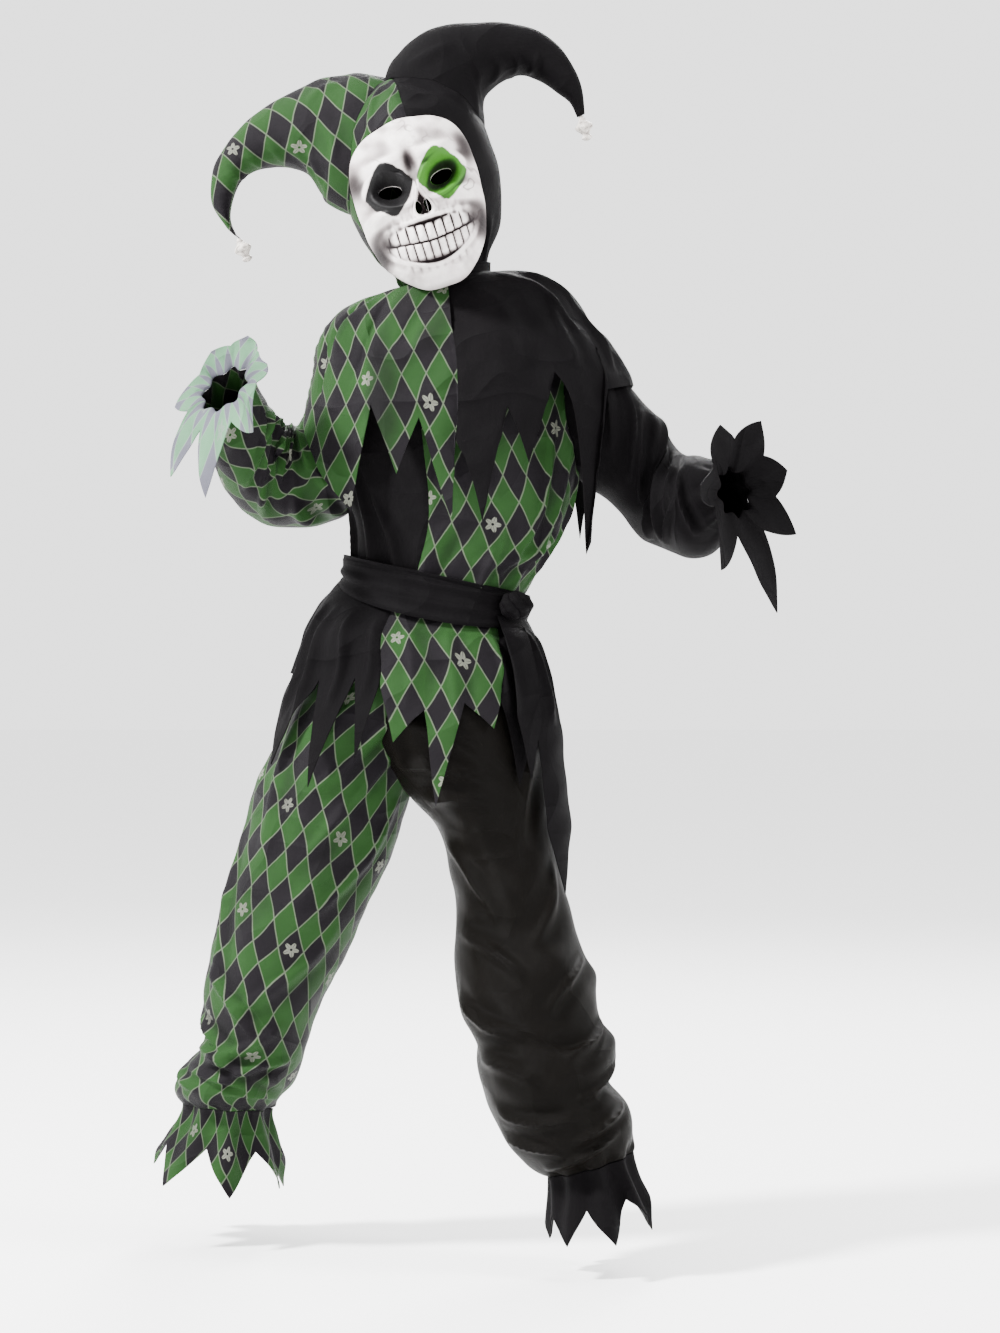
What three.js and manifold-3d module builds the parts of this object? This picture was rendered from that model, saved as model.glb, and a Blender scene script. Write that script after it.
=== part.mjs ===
// A jester costume as it is worn: horned hood with a skull mask, a tunic with a dagged cape and a dagged skirt,
// a wrapped sash, and trousers. Millimetres, +Z up, the front faces -Y, and the origin is the middle of the neck.
// Cloth is a thin wall between an outer surface and the same surface moved in by the wall.
import * as THREE from "three";
import Module from "manifold-3d";

const wasm = await Module();
wasm.setup();

const CLOTH = 1.5;          // wall of every cloth panel
const MASK_WALL = 2.5;      // moulded mask shell
const SEAM = 0.3;           // gap between two pieces that are sewn together
const CLEAR = 0.35;         // gap left where one piece is trimmed to another
const DEGREE = Math.PI / 180;
const FRONT = -1;
const BACK = 1;

const GREEN = new THREE.MeshStandardMaterial({ color: 0x3f7a34, roughness: 0.62, metalness: 0 });
const BLACK = new THREE.MeshStandardMaterial({ color: 0x1d1c1f, roughness: 0.75, metalness: 0 });
const SATIN = new THREE.MeshStandardMaterial({ color: 0x1a1718, roughness: 0.45, metalness: 0 });
const BONE = new THREE.MeshStandardMaterial({ color: 0xe6e3da, roughness: 0.5, metalness: 0 });

const table = (columns, rows) =>
  rows.map((row) => Object.fromEntries(columns.map((name, i) => [name, row[i]])));
const lerp = (a, b, t) => a + (b - a) * t;
const clamp = (x, low, high) => Math.min(high, Math.max(low, x));
const smooth = (low, high, x) => {
  const t = clamp((x - low) / (high - low), 0, 1);
  return t * t * (3 - 2 * t);
};

// Rings of a tube of cloth: the outline's left and right points seen from the front, the middle of the ring in y,
// half its depth, and how far its front is leaned towards the tube's start, in degrees.
const RING = ["leftX", "leftZ", "rightX", "rightZ", "y", "depth", "lean"];

const SHIRT_RINGS = table(RING, [
  [-49, -18, 51, 13, 0, 52.5, 0],
  [-84, -36, 90, -4, 0, 62, 0],
  [-116, -56, 127, -32, 0, 78, 0],
  [-138, -86, 152, -72, 2, 92, 0],
  [-146, -116, 162, -114, 4, 102, 0],
  [-138, -188, 158, -186, 5, 106, 0],
  [-122, -258, 152, -258, 4, 103, 0],
  [-114, -300, 134, -306, 2, 96, 0],
  [-115, -330, 108, -345, 0, 89, -4],
  [-117, -364, 86, -384, 0, 84, -8],
]);

const CAPE_RINGS = table(RING, [
  [-50.5, -16.5, 53.5, 14.4, 0, 54.5, 0],
  [-98, -19, 103, 12, 0, 72, 0],
  [-132, -39, 145, -9, 0, 90, 0],
  [-152, -69, 173, -48, 0, 104, 0],
  [-159, -102, 192, -70, 0, 112, 0],
  [-168, -142, 209, -97, 0, 117, 0],
  [-177, -200, 222, -126, 0, 119, 0],
  [-184, -262, 220, -196, 0, 120, 0],
  [-184, -330, 214, -290, 0, 121, 0],
  [-184, -390, 208, -380, 0, 121, 0],
]);

const SKIRT_RINGS = table(RING, [
  [-112, -340, 86, -386, 0, 86, -14],
  [-146, -376, 102, -412, 0, 99, -10],
  [-168, -412, 112, -434, 0, 113, -3],
  [-180, -456, 126, -484, 0, 120, 0],
  [-200, -506, 135, -532, 0, 125, 0],
  [-226, -576, 142, -600, 0, 131, 0],
  [-246, -650, 148, -670, 0, 136, 0],
  [-262, -720, 152, -740, 0, 138, 0],
]);

const SASH_RINGS = table(RING, [
  [-121, -324, 98, -372, 0, 92.5, -2],
  [-123, -334, 96, -379, 0, 93.5, -5],
  [-124, -345, 96, -388, 0, 97, -10],
  [-125, -357, 97, -399, 0, 100, -15],
]);

const LEG_RIGHT_RINGS = table(RING, [
  [-114.8, -361, 64, -380, 0, 80, -8],
  [-139, -412, 48, -426, 2, 94, 0],
  [-164, -470, 20, -486, 4, 102, 0],
  [-196, -532, -18, -546, 6, 99, 0],
  [-226, -590, -46, -618, 8, 92, 0],
  [-243, -648, -68, -688, 12, 86, 0],
  [-262, -712, -100, -755, 17, 80, 0],
  [-280, -780, -132, -824, 25, 74, 0],
  [-294, -842, -159, -883, 38, 69, 0],
  [-296, -900, -176, -932, 48, 64, 0],
  [-322, -944, -187, -963, 62, 69, 0],
  [-335, -972, -206, -986, 69, 66, 0],
  [-322, -990, -216, -998, 73, 50, 0],
]);

const LEG_LEFT_RINGS = table(RING, [
  [-92, -363, 85.2, -381, 0, 80.5, -8],
  [-94, -414, 91, -430, 0, 95, 0],
  [-104, -476, 106, -494, -2, 112, 0],
  [-110, -540, 120, -552, -5, 110, 0],
  [-52, -606, 126, -598, -10, 98, 0],
  [-10, -655, 129, -642, -18, 86, 0],
  [6, -713, 135, -696, -28, 77, 0],
  [11, -760, 148, -748, -42, 75, 0],
  [11, -812, 161, -792, -53, 79, 0],
  [16, -862, 175, -838, -61, 83, 0],
  [32, -900, 184, -880, -68, 83, 0],
  [40, -946, 198, -914, -75, 85, 0],
  [54, -984, 195, -944, -80, 83, 0],
  [73, -1018, 214, -972, -85, 79, 0],
  [99, -1043, 219, -1002, -88, 68, 0],
  [121, -1052, 216, -1026, -90, 50, 0],
]);

// The right sleeve's elbow is bent sharply, so its "left" point runs along the underside of the arm
// and its "right" point along the crease of the elbow.
const SLEEVE_RIGHT_RINGS = table(RING, [
  [-96, -250, -128, -84, 0, 56, 0],
  [-117, -273, -150, -140, 3, 60, 0],
  [-138, -284, -170, -155, 4, 61, 0],
  [-176, -290, -187, -166, 2, 60, 4],
  [-219, -286, -199, -167, -12, 56, 14],
  [-249, -264, -209, -155, -38, 52, 28],
  [-268, -227, -218, -137, -74, 44, 40],
  [-279, -158, -231, -114, -113, 28, 46],
]);

const SLEEVE_LEFT_RINGS = table(RING, [
  [118, -196, 118, -30, 0, 56, 0],
  [168, -240, 182, -80, -2, 59, 0],
  [199, -263, 226, -131, -2, 59, 0],
  [223, -290, 257, -165, 4, 60, 0],
  [240, -308, 271, -191, -2, 60, 10],
  [270, -323, 285, -207, -30, 58, 24],
  [304, -328, 300, -211, -70, 52, 38],
  [340, -283, 330, -228, -110, 28, 48],
]);

// Points of a dagged hem, seen from the front: notches and tips in turn, which side of the body they are on,
// and the angle at the top edge that each one hangs from, in degrees from the wearer's left, round by the back.
const DAG = ["x", "z", "side", "top"];

const CAPE_BLACK_FRONT = table(DAG, [
  [12, -194, FRONT, -90],
  [43, -290, FRONT, -76],
  [72, -158, FRONT, -62],
  [97, -221, FRONT, -48],
  [126, -116, FRONT, -34],
  [166, -327, FRONT, -24],
  [186, -133, FRONT, -13],
  [221, -122, FRONT, 0],
]);
const CAPE_BLACK_BACK = table(DAG, [
  [221, -122, BACK, 0],
  [186, -135, BACK, 13],
  [160, -300, BACK, 25],
  [124, -125, BACK, 36],
  [92, -240, BACK, 50],
  [58, -150, BACK, 63],
  [30, -292, BACK, 77],
  [8, -180, BACK, 90],
]);
const CAPE_GREEN_BACK = table(DAG, [
  [8, -180, BACK, 90],
  [-18, -286, BACK, 104],
  [-44, -158, BACK, 118],
  [-72, -250, BACK, 133],
  [-98, -146, BACK, 147],
  [-128, -262, BACK, 163],
  [-160, -142, BACK, 180],
]);
const CAPE_GREEN_FRONT = table(DAG, [
  [-160, -142, FRONT, 180],
  [-110, -277, FRONT, 198],
  [-86, -153, FRONT, 214],
  [-57, -234, FRONT, 229],
  [-31, -168, FRONT, 244],
  [8, -289, FRONT, 258],
  [12, -194, FRONT, 270],
]);

const SKIRT_BLACK_RIGHT = table(DAG, [
  [-186, -466, FRONT, 182],
  [-206, -573, FRONT, 193],
  [-150, -473, FRONT, 206],
  [-161, -598, FRONT, 218],
  [-106, -471, FRONT, 230],
  [-105, -567, FRONT, 240],
  [-76, -478, FRONT, 250],
]);
const SKIRT_GREEN_FRONT = table(DAG, [
  [-76, -478, FRONT, 250],
  [-60, -546, FRONT, 258],
  [-24, -508, FRONT, 270],
  [-11, -620, FRONT, 282],
  [22, -500, FRONT, 294],
  [56, -530, FRONT, 307],
  [64, -499, FRONT, 316],
]);
const SKIRT_BLACK_LEFT = table(DAG, [
  [64, -499, FRONT, -44],
  [88, -596, FRONT, -34],
  [110, -504, FRONT, -24],
  [126, -610, FRONT, -12],
  [129, -512, BACK, 1],
]);
const SKIRT_GREEN_BACK = table(DAG, [
  [129, -512, BACK, 1],
  [112, -606, BACK, 20],
  [88, -500, BACK, 36],
  [60, -600, BACK, 52],
  [26, -492, BACK, 68],
  [-12, -612, BACK, 86],
]);
const SKIRT_BLACK_BACK = table(DAG, [
  [-12, -612, BACK, 86],
  [-50, -486, BACK, 102],
  [-86, -590, BACK, 118],
  [-118, -480, BACK, 135],
  [-160, -590, BACK, 152],
  [-178, -470, BACK, 167],
  [-186, -466, FRONT, 182],
]);

// Folds of a tube: where a fold lies on it (degrees round, rings along), its reach either way, its slant in degrees
// for each ring, and how far it stands out (or in, below nought).
const FOLD = ["at", "ring", "wide", "long", "slant", "out"];

const LEG_RIGHT_FOLDS = table(FOLD, [
  [250, 3.4, 16, 1.8, 6, 4],
  [285, 5.2, 14, 1.6, -8, 4],
  [225, 7.2, 22, 0.5, 24, -5],
  [205, 8.6, 26, 0.8, 14, 5],
  [240, 9.6, 30, 0.5, -20, 6],
  [180, 9.4, 30, 0.45, 10, -9],
  [300, 9.9, 34, 0.5, 24, 5],
  [60, 8.2, 30, 1.2, 12, 5],
  [120, 9.3, 34, 0.7, -16, -5],
]);
const LEG_LEFT_FOLDS = table(FOLD, [
  [225, 9.6, 24, 0.6, -26, 6],
  [290, 10.2, 30, 0.4, 22, -6],
  [245, 4.4, 18, 1.2, 12, 4],
  [265, 6.2, 40, 0.6, 22, 6],
  [300, 8.2, 34, 0.9, -18, 5],
  [0, 8.6, 24, 0.45, 10, 6],
  [0, 10.4, 26, 0.5, 0, 7],
  [355, 12.0, 26, 0.45, 0, -8],
  [250, 11.2, 36, 0.9, 20, 6],
  [180, 9.8, 26, 0.6, 0, -7],
  [80, 8.4, 34, 1.4, 14, 6],
  [120, 11.5, 34, 1.0, -12, -6],
]);
const SLEEVE_RIGHT_FOLDS = table(FOLD, [
  [280, 3.2, 30, 0.35, 20, 6],
  [290, 4.8, 26, 0.3, -18, -6],
  [350, 2.6, 40, 0.35, 10, -7],
  [340, 4.2, 42, 0.4, -12, 7],
  [330, 5.3, 40, 0.4, 14, -6],
  [230, 2.0, 34, 0.7, 26, 5],
  [240, 4.6, 34, 0.6, -22, 6],
  [120, 3.6, 40, 0.9, 12, 5],
]);
const SLEEVE_LEFT_FOLDS = table(FOLD, [
  [300, 1.6, 30, 0.6, -26, 7],
  [320, 2.8, 26, 0.5, -24, 7],
  [250, 3.6, 30, 0.6, 26, 6],
  [200, 4.4, 26, 0.4, 10, -6],
  [290, 5.0, 26, 0.6, 18, 6],
  [100, 3.2, 40, 1.0, 12, 5],
]);
const SHIRT_FOLDS = table(FOLD, [
  [335, 5.4, 10, 1.8, -6, 4],
  [210, 6.6, 12, 1.6, 8, 4],
  [250, 7.0, 14, 1.6, 8, 3],
  [300, 7.2, 12, 1.8, -7, 3],
  [330, 6.9, 12, 1.6, -10, 3],
  [60, 6.6, 16, 1.8, 5, 3],
  [120, 6.8, 16, 1.8, -5, 3],
]);

// Catmull-Rom through one column of the rings, running straight on past both ends.
function along(rings, key, v) {
  const last = rings.length - 1;
  const at = (i) => {
    if (i < 0) return lerp(rings[0][key], rings[1][key], i);
    if (i > last) return lerp(rings[last - 1][key], rings[last][key], i - last + 1);
    return rings[i][key];
  };
  const i = Math.floor(clamp(v, 0, last - 1e-9));
  const t = v - i;
  if (t < 0 || t > 1) return lerp(at(i), at(i + 1), t);
  const [a, b, c, d] = [at(i - 1), at(i), at(i + 1), at(i + 2)];
  return b + 0.5 * t * (c - a + t * (2 * a - 5 * b + 4 * c - d + t * (3 * (b - c) + d - a)));
}

function foldHeight(folds, theta, v) {
  const degrees = theta / DEGREE;
  return folds.reduce((sum, fold) => {
    const away = degrees - fold.at - fold.slant * (v - fold.ring);
    const round = ((away % 360) + 540) % 360 - 180;
    const near = (round / fold.wide) ** 2 + ((v - fold.ring) / fold.long) ** 2;
    return sum + fold.out * Math.exp(-2 * near);
  }, 0);
}

// Gathers over an elastic: even waves that die away from the last ring.
function gatherHeight(gathers, theta, v, last) {
  if (!gathers) return 0;
  const near = smooth(last - gathers.reach, last, v);
  return gathers.out * near * Math.cos(gathers.count * theta);
}

// A surface of rings: theta turns from the ring's right point (0) by the back (90 degrees), v counts rings.
function tubeSurface(rings, { power = 2, folds = [], gathers = null, twist = 0 } = {}) {
  const last = rings.length - 1;
  const middle = (v) => {
    const x = (along(rings, "leftX", v) + along(rings, "rightX", v)) / 2;
    const z = (along(rings, "leftZ", v) + along(rings, "rightZ", v)) / 2;
    return new THREE.Vector3(x, along(rings, "y", v), z);
  };
  const surface = (theta, v) => {
    const centre = middle(v);
    const across = new THREE.Vector3(along(rings, "rightX", v), centre.y, along(rings, "rightZ", v)).sub(centre);
    const lean = along(rings, "lean", v) * DEGREE;
    const onward = middle(v + 0.2).sub(middle(v - 0.2)).setY(0);
    const side = across.clone().normalize();
    onward.addScaledVector(side, -onward.dot(side)).normalize();
    const back = new THREE.Vector3(0, Math.cos(lean), 0).addScaledVector(onward, Math.sin(lean));
    const turned = theta + twist;
    const rounded = (x) => Math.sign(x) * Math.abs(x) ** (2 / power);
    const arm = across
      .multiplyScalar(rounded(Math.cos(turned)))
      .addScaledVector(back, along(rings, "depth", v) * rounded(Math.sin(turned)));
    const out = foldHeight(folds, theta, v) + gatherHeight(gathers, theta, v, last);
    return centre.add(arm).addScaledVector(arm.clone().normalize(), out);
  };
  surface.middle = middle;
  surface.last = last;
  return surface;
}

// The outward unit normal of a surface, by small steps along both of its directions.
function rawNormal(surface, theta, v) {
  const step = 1e-3;
  const round = surface(theta + step, v).sub(surface(theta - step, v));
  const down = surface(theta, v + step).sub(surface(theta, v - step));
  return round.cross(down).normalize();
}

function normalAt(surface, theta, v) {
  if (!surface.facing) {
    const outward = surface(0, 0.3).sub(surface.middle(0.3));
    surface.facing = Math.sign(rawNormal(surface, 0, 0.3).dot(outward));
  }
  return rawNormal(surface, theta, v).multiplyScalar(surface.facing);
}

// Columns of a wall: each runs from (top, start) to (angle, end).
const evenColumns = (from, to, count, start, end) =>
  Array.from({ length: count }, (_, i) => {
    const angle = lerp(from, to, i / count);
    return { top: angle, start, angle, end };
  });

const openColumns = (from, to, count, start, end) => [
  ...evenColumns(from, to, count, start, end),
  { top: to, start, angle: to, end },
];

function gridOf(surface, columns, rows, offset) {
  return Array.from({ length: rows + 1 }, (_, j) =>
    columns.map((column) => {
      const theta = lerp(column.top, column.angle, j / rows);
      const v = lerp(column.start, column.end, j / rows);
      return surface(theta, v).addScaledVector(normalAt(surface, theta, v), offset);
    }));
}

const towards = (point, goal, distance) => point.addScaledVector(goal.clone().sub(point).normalize(), distance);

// Draws the open edges of a grid in by half a seam, so that two panels that share an edge stay apart.
function insetEdges(grid, sides, ends) {
  const last = grid.length - 1;
  const n = grid[0].length - 1;
  if (sides)
    for (const [edge, next] of [[0, 1], [n, n - 1]]) {
      const inward = grid.map((row, j) => {
        const seam = grid[Math.min(j + 1, last)][edge].clone().sub(grid[Math.max(j - 1, 0)][edge]).normalize();
        const way = row[next].clone().sub(row[edge]);
        return way.addScaledVector(seam, -way.dot(seam)).normalize();
      });
      grid.forEach((row, j) => row[edge].addScaledVector(inward[j], SEAM / 2));
    }
  grid[0].forEach((point, i) => {
    if (ends.top) towards(point, grid[1][i], ends.top);
    if (ends.bottom) towards(grid[last][i], grid[last - 1][i], ends.bottom);
  });
}

// A closed solid from points and triangles, turned so that its faces point out.
function solid(points, triangles) {
  const vertProperties = new Float32Array(points.flatMap((p) => [p.x, p.y, p.z]));
  const make = (list) =>
    new wasm.Manifold(new wasm.Mesh({ numProp: 3, vertProperties, triVerts: new Uint32Array(list.flat()) }));
  const made = make(triangles);
  return made.volume() > 0 ? made : make(triangles.map(([a, b, c]) => [a, c, b]));
}

// A wall between an outer and an inner grid, closed along its edges.
function slab(outer, inner, closed) {
  const rows = outer.length - 1;
  const n = outer[0].length;
  const points = [...outer.flat(), ...inner.flat()];
  const id = (layer, j, i) => (layer * (rows + 1) + j) * n + (i % n);
  const triangles = [];
  const quad = (a, b, c, d) => triangles.push([a, b, c], [a, c, d]);
  const cells = closed ? n : n - 1;
  for (let j = 0; j < rows; j++)
    for (let i = 0; i < cells; i++) {
      quad(id(0, j, i), id(0, j, i + 1), id(0, j + 1, i + 1), id(0, j + 1, i));
      quad(id(1, j, i), id(1, j + 1, i), id(1, j + 1, i + 1), id(1, j, i + 1));
    }
  for (let i = 0; i < cells; i++) {
    quad(id(0, 0, i + 1), id(0, 0, i), id(1, 0, i), id(1, 0, i + 1));
    quad(id(0, rows, i), id(0, rows, i + 1), id(1, rows, i + 1), id(1, rows, i));
  }
  if (!closed)
    for (let j = 0; j < rows; j++) {
      quad(id(0, j, 0), id(0, j + 1, 0), id(1, j + 1, 0), id(1, j, 0));
      quad(id(0, j + 1, n - 1), id(0, j, n - 1), id(1, j, n - 1), id(1, j + 1, n - 1));
    }
  return solid(points, triangles);
}

function wall(surface, columns, rows, { closed = false, thickness = CLOTH, top = 0, bottom = 0, offset = 0 } = {}) {
  const outer = gridOf(surface, columns, rows, offset);
  const inner = gridOf(surface, columns, rows, offset - thickness);
  [outer, inner].forEach((grid) => insetEdges(grid, !closed, { top, bottom }));
  return slab(outer, inner, closed);
}

// The filled form of a closed tube, grown by an offset, with a fan over each end.
function plug(surface, columns, rows, offset) {
  const grid = gridOf(surface, columns, rows, offset);
  const n = columns.length;
  const points = grid.flat();
  const triangles = [];
  for (let j = 0; j < rows; j++)
    for (let i = 0; i < n; i++) {
      const [a, b] = [j * n + i, j * n + ((i + 1) % n)];
      triangles.push([a, b, b + n], [a, b + n, a + n]);
    }
  [0, rows].forEach((j) => {
    const middle = grid[j].reduce((sum, p) => sum.add(p), new THREE.Vector3()).divideScalar(n);
    const centre = points.push(middle) - 1;
    for (let i = 0; i < n; i++) {
      const [a, b] = [j * n + i, j * n + ((i + 1) % n)];
      triangles.push(j === 0 ? [centre, b, a] : [centre, a, b]);
    }
  });
  return solid(points, triangles);
}

// Finds the angle and ring where a surface passes a point of the front view, on the side asked for.
function locate(surface, { x, z, side }) {
  let best = { theta: 0, v: 0, miss: Infinity };
  const look = (theta, v) => {
    const p = surface(theta, v);
    const miss = Math.hypot(p.x - x, p.z - z);
    if (miss < best.miss) best = { theta, v, miss };
  };
  const middle = side === FRONT ? -90 : 90;
  for (let degrees = -90; degrees <= 90; degrees += 3)
    for (let v = 0; v <= surface.last; v += 0.25) look((middle + degrees) * DEGREE, v);
  for (let step = 1; step > 0.01; step *= 0.7) {
    const { theta, v } = best;
    for (const a of [-1, 0, 1])
      for (const b of [-1, 0, 1]) {
        const turned = clamp(theta / DEGREE + a * 3 * step, middle - 90, middle + 90);
        look(turned * DEGREE, Math.max(0.2, v + b * 0.25 * step));
      }
  }
  return best;
}

// Columns of a dagged panel: each edge of a dag is cut into a few straight columns.
function dagColumns(surface, dags, cuts, start) {
  const found = dags.map((dag) => {
    const { theta, v } = locate(surface, dag);
    const turns = Math.round((dag.top * DEGREE - theta) / (2 * Math.PI));
    return { top: dag.top * DEGREE, angle: theta + turns * 2 * Math.PI, end: v };
  });
  const columns = [];
  found.forEach((here, i) => {
    const next = found[i + 1];
    if (!next) return columns.push({ ...here, start });
    for (let k = 0; k < cuts; k++)
      columns.push({
        top: lerp(here.top, next.top, k / cuts),
        angle: lerp(here.angle, next.angle, k / cuts),
        end: lerp(here.end, next.end, k / cuts),
        start,
      });
  });
  return columns;
}

const largest = (made) => made.decompose().sort((a, b) => b.volume() - a.volume())[0];

const WELD = 0.02;          // slivers under this that trimming leaves are closed up
const costume = new THREE.Group();
function add(name, made, material) {
  const { vertProperties, triVerts, numProp } = largest(largest(made).simplify(WELD)).getMesh();
  const position = new Float32Array((vertProperties.length / numProp) * 3);
  for (let i = 0; i < position.length / 3; i++)
    for (let k = 0; k < 3; k++) position[i * 3 + k] = vertProperties[i * numProp + k];
  const geometry = new THREE.BufferGeometry()
    .setAttribute("position", new THREE.BufferAttribute(position, 3))
    .setIndex(new THREE.BufferAttribute(triVerts, 1));
  geometry.computeVertexNormals();
  const mesh = new THREE.Mesh(geometry, material);
  mesh.name = name;
  costume.add(mesh);
}

// Head: its own frame, tipped towards the wearer's right. side runs across the face, up along the head's axis.
const HEAD_TILT = 17.5 * DEGREE;
const HEAD_CENTRE = new THREE.Vector3(-24, -18, 102);
const HEAD_SIDE = new THREE.Vector3(Math.cos(HEAD_TILT), 0, Math.sin(HEAD_TILT));
const HEAD_UP = new THREE.Vector3(-Math.sin(HEAD_TILT), 0, Math.cos(HEAD_TILT));
const onHead = (side, y, up) =>
  HEAD_CENTRE.clone().addScaledVector(HEAD_SIDE, side).addScaledVector(HEAD_UP, up).add(new THREE.Vector3(0, y, 0));

const HEAD_RING = ["side", "y", "up", "half", "depth"];
const HOOD_RINGS = table(HEAD_RING, [
  [-8, 18, -122, 50, 50],
  [-7, 18, -103, 50, 50],
  [-5, 14, -80, 58, 62],
  [-2, 6, -46, 80, 86],
  [0, 0, 0, 92, 103],
  [2, 0, 43, 90, 107],
  [4, 2, 87, 82, 99],
  [4, 4, 118, 62, 77],
  [3, 5, 138, 38, 48],
  [3, 5, 147, 8, 10],
]);

function headSurface(rings, folds) {
  const middle = (v) => onHead(along(rings, "side", v), along(rings, "y", v), along(rings, "up", v));
  const surface = (theta, v) => {
    const arm = HEAD_SIDE.clone().multiplyScalar(along(rings, "half", v) * Math.cos(theta))
      .add(new THREE.Vector3(0, along(rings, "depth", v) * Math.sin(theta), 0));
    const out = foldHeight(folds, theta, v);
    return middle(v).add(arm).addScaledVector(arm.clone().normalize(), out);
  };
  surface.middle = middle;
  surface.last = rings.length - 1;
  return surface;
}

const HOOD_FOLDS = table(FOLD, [
  [330, 6.3, 30, 0.5, 24, 3],
  [10, 2.6, 26, 0.6, 10, 4],
  [90, 2.8, 34, 0.5, 12, 4],
  [150, 2.9, 26, 0.5, -12, 4],
]);
const hoodSurface = headSurface(HOOD_RINGS, HOOD_FOLDS);

// Face mask: half width of its outline at each height, and how far its surface stands in front of the head's middle.
const MASK_MIDDLE = -10;
const MASK_OUTLINE = table(["up", "half"], [
  [-118, 0], [-115, 24], [-100, 42], [-76, 60], [-42, 72], [0, 75], [36, 74], [62, 62], [76, 40], [82, 0],
]);
const MASK_FRONT = -138;

const eased = (rows, key, up) => {
  const i = clamp(rows.findIndex((row) => row.up >= up) - 1, 0, rows.length - 2);
  const t = clamp((up - rows[i].up) / (rows[i + 1].up - rows[i].up), 0, 1);
  return lerp(rows[i][key], rows[i + 1][key], t);
};

// How far forward the hood's surface stands at a place of the face; under its floor the mask hangs free of it.
function hoodFront(side, up) {
  let [low, high] = [0, HOOD_RINGS.length - 1];
  for (let k = 0; k < 24; k++) {
    const v = (low + high) / 2;
    if (along(HOOD_RINGS, "up", v) < Math.max(up, -62)) low = v;
    else high = v;
  }
  const across = clamp((side - along(HOOD_RINGS, "side", low)) / along(HOOD_RINGS, "half", low), -0.96, 0.96);
  const front = along(HOOD_RINGS, "y", low) - along(HOOD_RINGS, "depth", low) * Math.sqrt(1 - across ** 2);
  return front - 14 * smooth(-62, -110, up);
}

// Points of the outline, at even turns about the mask's middle.
const OUTLINE_UP = -18;
function outlinePoint(turn, grow) {
  const direction = { side: Math.cos(turn), up: Math.sin(turn) };
  let [near, far] = [0, 130];
  for (let k = 0; k < 30; k++) {
    const reach = (near + far) / 2;
    const up = OUTLINE_UP + reach * direction.up;
    const inside = up > -118 && up < 82 && Math.abs(reach * direction.side) < eased(MASK_OUTLINE, "half", up);
    if (inside) near = reach;
    else far = reach;
  }
  const reach = near + grow;
  return { side: MASK_MIDDLE + reach * direction.side, up: OUTLINE_UP + reach * direction.up };
}

// Bumps and hollows of a plain skull: brow, cheekbones, jaw, eye hollows and the row of teeth.
const MASK_FORMS = table(["side", "up", "wide", "high", "out"], [
  [-30, 30, 28, 14, 10], [30, 30, 28, 14, 10], [-31, 1, 21, 15, -16], [31, 1, 21, 15, -16],
  [-54, -28, 18, 12, 8], [54, -28, 18, 12, 8], [0, -30, 11, 14, -7], [0, -62, 40, 20, 9], [0, -102, 22, 13, 9],
  [-48, -64, 12, 24, -9], [48, -64, 12, 24, -9],
]);

function maskPoint(turn, reach, depth) {
  const edge = outlinePoint(turn, 0);
  const side = lerp(MASK_MIDDLE, edge.side, reach);
  const up = lerp(OUTLINE_UP, edge.up, reach);
  const dome = (1 - reach ** 2) ** 0.62;
  const form = MASK_FORMS.reduce((sum, m) => {
    const near = ((side - MASK_MIDDLE - m.side) / m.wide) ** 2 + ((up - m.up) / m.high) ** 2;
    return sum + m.out * Math.exp(-near);
  }, 0);
  const rim = hoodFront(edge.side, edge.up) - 1;
  const y = lerp(rim, MASK_FRONT, dome) - form * Math.min(1, 3 * (1 - reach));
  return onHead(side, y + depth, up);
}

const MASK_TURNS = 28;
function maskShell() {
  const turns = MASK_TURNS;
  const rings = [0, 0.22, 0.4, 0.56, 0.72, 0.86, 0.95, 1];
  const points = [];
  const triangles = [];
  for (const depth of [0, MASK_WALL])
    for (const reach of rings.slice(1))
      for (let i = 0; i < turns; i++) points.push(maskPoint((i / turns) * 2 * Math.PI, reach, depth));
  const poles = [0, MASK_WALL].map((depth) => points.push(maskPoint(0, 0, depth)) - 1);
  const loops = rings.length - 1;
  const id = (layer, k, i) => (layer * loops + k) * turns + (i % turns);
  for (let i = 0; i < turns; i++) {
    triangles.push([poles[0], id(0, 0, i), id(0, 0, i + 1)], [poles[1], id(1, 0, i + 1), id(1, 0, i)]);
    for (let k = 0; k < loops - 1; k++) {
      const [a, b, c, d] = [id(0, k, i), id(0, k + 1, i), id(0, k + 1, i + 1), id(0, k, i + 1)];
      const [e, f, g, h] = [id(1, k, i), id(1, k + 1, i), id(1, k + 1, i + 1), id(1, k, i + 1)];
      triangles.push([a, b, c], [a, c, d], [e, g, f], [e, h, g]);
    }
    const [p, q] = [id(0, loops - 1, i), id(0, loops - 1, i + 1)];
    const [r, s] = [id(1, loops - 1, i), id(1, loops - 1, i + 1)];
    triangles.push([p, r, s], [p, s, q]);
  }
  return solid(points, triangles);
}

// A cutter through the face: an outline in the head's frame, run from in front of it to its middle.
function faceCutter(outline, fromY, toY) {
  const n = outline.length;
  const points = [fromY, toY].flatMap((y) => outline.map((p) => onHead(p.side, y, p.up)));
  const triangles = [];
  for (let i = 0; i < n; i++) {
    const next = (i + 1) % n;
    triangles.push([i, next, next + n], [i, next + n, i + n]);
    if (i > 0 && i < n - 1) triangles.push([0, i + 1, i], [n, n + i, n + i + 1]);
  }
  return solid(points, triangles);
}

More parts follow.
